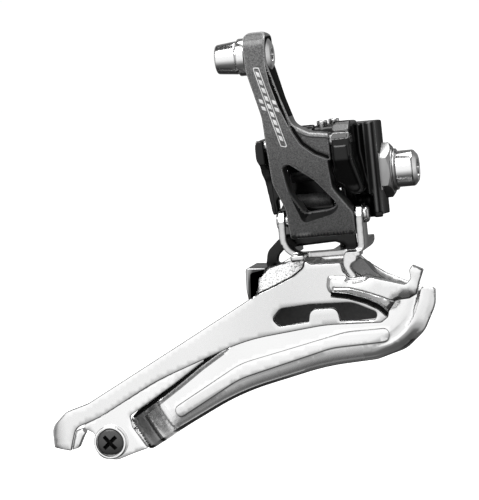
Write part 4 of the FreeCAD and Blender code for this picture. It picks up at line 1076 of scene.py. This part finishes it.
# Steeper rim towards the tail.
INNER_RIM = [(0.0, 0.9), (0.2, 0.75), (0.85, 0.0)]
# Distance from the seam and rise of the tail's two-stepped bend.
TAIL_STEPS = [
    (0.3, 9.8), (0.9, 9.3), (1.3, 8.2), (1.7, 6.8), (2.1, 6.1), (2.5, 5.8), (2.9, 5.4), (3.3, 4.6),
    (3.8, 3.0), (4.3, 1.5), (4.8, 0.6), (5.4, 0.15), (6.4, 0.0)]


def inner_near(points):
    """Depth of the inner plate's near face."""
    x, z = points.T
    y = np.full(len(points), INNER_Y)
    # The lower edge rolls inboard, with a small step along it.
    up = np.abs(distance_from(points, INNER_EDGE))
    y += curve(up, INNER_ROLL) * (1 - ease(x, 8.0, 12.0))
    y += curve(up, INNER_RIM) * (1 - ease(x, -45.0, -10.0))
    # Lengthwise bead.
    into = distance_from(points, INNER_BEAD, True)
    within = np.where(inside(points, INNER_BEAD), np.abs(into), -np.abs(into))
    y -= 0.12 * ease(within, -0.25, 0.25)
    # Fold line under the outer plate's lower band.
    fold_end = -39.0
    fold = curve(distance_from(points, INNER_FOLD),
                 [(-1.6, 0.0), (-0.8, 0.12), (-0.3, 0.5), (0.2, 0.6), (0.5, 0.0)])
    y += fold * (x < fold_end)
    # Nose: a raised crease, then the flare.
    past = distance_from(points, NOSE_CREASE)
    crease = curve(past, [(-5.0, 0.0), (-2.5, 0.06), (-1.2, 0.22), (-0.3, 0.18), (0.0, 0.02), (0.3, -0.02),
                          (1.2, 0.05), (2.5, 0.28), (4.5, 0.8)])
    y += ease(x, -2.0, 5.0) * crease
    # The tail end turns outboard to the tab.
    tail_start = -50.0
    return y - curve(distance_from(points, TAIL_SEAM), TAIL_STEPS) * (x < tail_start)


def inner_far(points):
    """Depth of the inner plate's far face."""
    return inner_near(points) + INNER_THICK


def build_inner_plate():
    """Inner plate, with its rolled edge, bead, fold and stepped tail, and the tab that carries the screw."""
    mesh = Mesh()
    straight = INNER_EDGE[INNER_EDGE[:, 0] < -4.0]
    fold = INNER_FOLD[:-2]
    fold_shade, fold_shadow_line = strip(fold, -1.8, -0.75), strip(fold, -0.7, 0.3)
    bead_shade_line, bead_top = offset(INNER_BEAD, -0.08, True), offset(INNER_BEAD, 0.08, True)
    details = [(INNER_EDGE, (0.5, 0.85, 1.05, 1.4, 2.0, 3.0, 4.0, 5.5)), (INNER_BEAD, (-0.25, 0.0, 0.25)),
               (INNER_FOLD, (-1.6, -0.8, -0.3, 0.2, 0.5)),
               (NOSE_CREASE, (-2.5, -1.2, -0.3, 0.0, 0.3, 1.2, 2.5)),
               (TAIL_SEAM, tuple(stop[0] for stop in TAIL_STEPS))]
    # Painted shade: bands across the tail's bend, a shade and a shadow line along the fold, a dark line along
    # the bead, a black patch behind the outer plate's window and a dark strap.
    tail_painted_bands = [(6.4, "satin_chrome"), (2.9, "dark_steel"), (2.1, "brushed_steel"), (0.3, "groove_black")]
    zones = [(WINDOW_SHADOW_PATCH, "black_plastic"), (STRAP, "gloss_black"),
             (strip(straight, 0.0, 4.0), "satin_chrome"),
             *((strip(TAIL_SEAM, 0.0, width), look) for width, look in tail_painted_bands),
             (fold_shade, "brushed_steel"), (fold_shadow_line, "groove_black"), (bead_shade_line, "brushed_steel"),
             (bead_top, "bright_chrome")]
    mesh.panel(INNER_BLADE, inner_near, inner_far, "bright_chrome", (), details, 1.1, (0.3, 0.3), zones,
               [WINDOW_SHADOW_PATCH, fold_shade, fold_shadow_line, bead_shade_line, bead_top])
    mesh.panel(TAIL_TAB, level(-14.8), level(-13.4), "bright_chrome", pitch=1.2, edge=(0.25, 0.25))
    stand_for(mesh.make("inner_cage_plate_detail", 30.0), "inner_cage_plate", "cage")


BRACKET_WEB = rounded([
    (-19.4, -13.6, 0.4), (-3.3, -13.6, 0.4), (-3.2, -19.6, 0.4), (-5.3, -19.5, 0.4), (-6.6, -17.4, 1.5),
    (-8.6, -16.5, 1.5), (-11.6, -16.6, 4.0), (-19.2, -16.9, 0.4)], 0.4)


def build_cage_bracket():
    """Cage bracket, with the web between its ears painted black as painted shade."""
    mesh = Mesh()
    mesh.panel(BRACKET_WEB, level(-4.2), level(-3.2), "gloss_black", pitch=0.8, edge=(0.3, 0.3))
    softened("cage_bracket", 0.2, 5, "cage", mesh.make("bracket_web", 40.0))


def build_front_bridge():
    """Front bridge, leaning down towards the inner plate."""
    lean, lean_start = 0.2, -14.8 * MM
    drop, drop_reach = 0.4, 2.0 * MM
    piece = softened("front_bridge", 0.2, 5, "cage")
    for vertex in piece.data.vertices:
        vertex.co.z -= lean * max(vertex.co.y - lean_start, 0)
        vertex.co.z -= drop * min(max(vertex.co.x, 0), drop_reach)


def build_tail_screw():
    """Pan head with a sunken cross, turned part way; the cross is painted black as painted shadow."""
    centre, radius = np.array([-68.7, -61.1]), 3.5
    arm, half_width, turn = 2.2, 0.5, math.radians(40.0)
    circle = [centre + radius * np.array([math.cos(a), math.sin(a)])
              for a in np.linspace(0, 2 * math.pi, 40, False)]
    corners = []
    for quarter in range(4):
        corners += turned([(arm, -half_width), (arm, half_width), (half_width, half_width)],
                          turn + quarter * math.pi / 2)
    cross = rounded(centre + np.array(corners), 0.25)
    low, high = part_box("tail_screw")

    def near(points):
        away = np.linalg.norm(points - centre, axis=1)
        dome = low.y / MM + 0.5 * (away / radius) ** 2
        sunk = np.minimum(np.abs(distance_from(points, cross, True)) * 4.0, 0.9)
        return dome + np.where(inside(points, cross), sunk, 0.0)

    mesh = Mesh()
    mesh.panel(np.array(circle), near, level(min(high.y / MM, low.y / MM + 2.0)), "dark_screw",
               pitch=0.4, edge=(0.3, 0.1), zones=[(cross, "groove_black")], seams=[cross])
    stand_for(mesh.make("tail_screw_detail", 30.0), "tail_screw", "cage")


# Plain pieces with rounded edges: node, width of the rounding, body and slot.
PLAIN = [
    ("mounting_bolt", 0.2, "mount", "polished_aluminium"),
    ("radius_washer", 0.12, "mount", "bright_steel"),
    ("bolt_washer", 0.12, "mount", "bright_steel"),
    ("low_limit_screw", 0.05, "low_screw", "bright_steel"),
    ("high_limit_screw", 0.05, "high_screw", "bright_steel"),
    ("cable_bolt", 0.2, "outer_arm", "polished_aluminium"),
    ("cable_washer", 0.15, "outer_arm", "polished_aluminium"),
    ("cable_nut", 0.2, "outer_arm", "polished_aluminium"),
    ("rear_bridge", 0.3, "cage", "chrome_plate"),
    ("outer_lower_pin", 0.2, "cage", "bright_steel"),
    ("tail_boss", 0.15, "cage", "chrome_plate"),
]

add_camera()
add_world()
add_floor()
add_lights()
paint_nodes()
build_outer_link()
build_outer_plate()
build_inner_plate()
build_label()
build_mount_body()
build_inner_link()
build_cage_bracket()
build_front_bridge()
build_tail_screw()
for node, width, body, slot in PLAIN:
    bevelled(node, width, body)
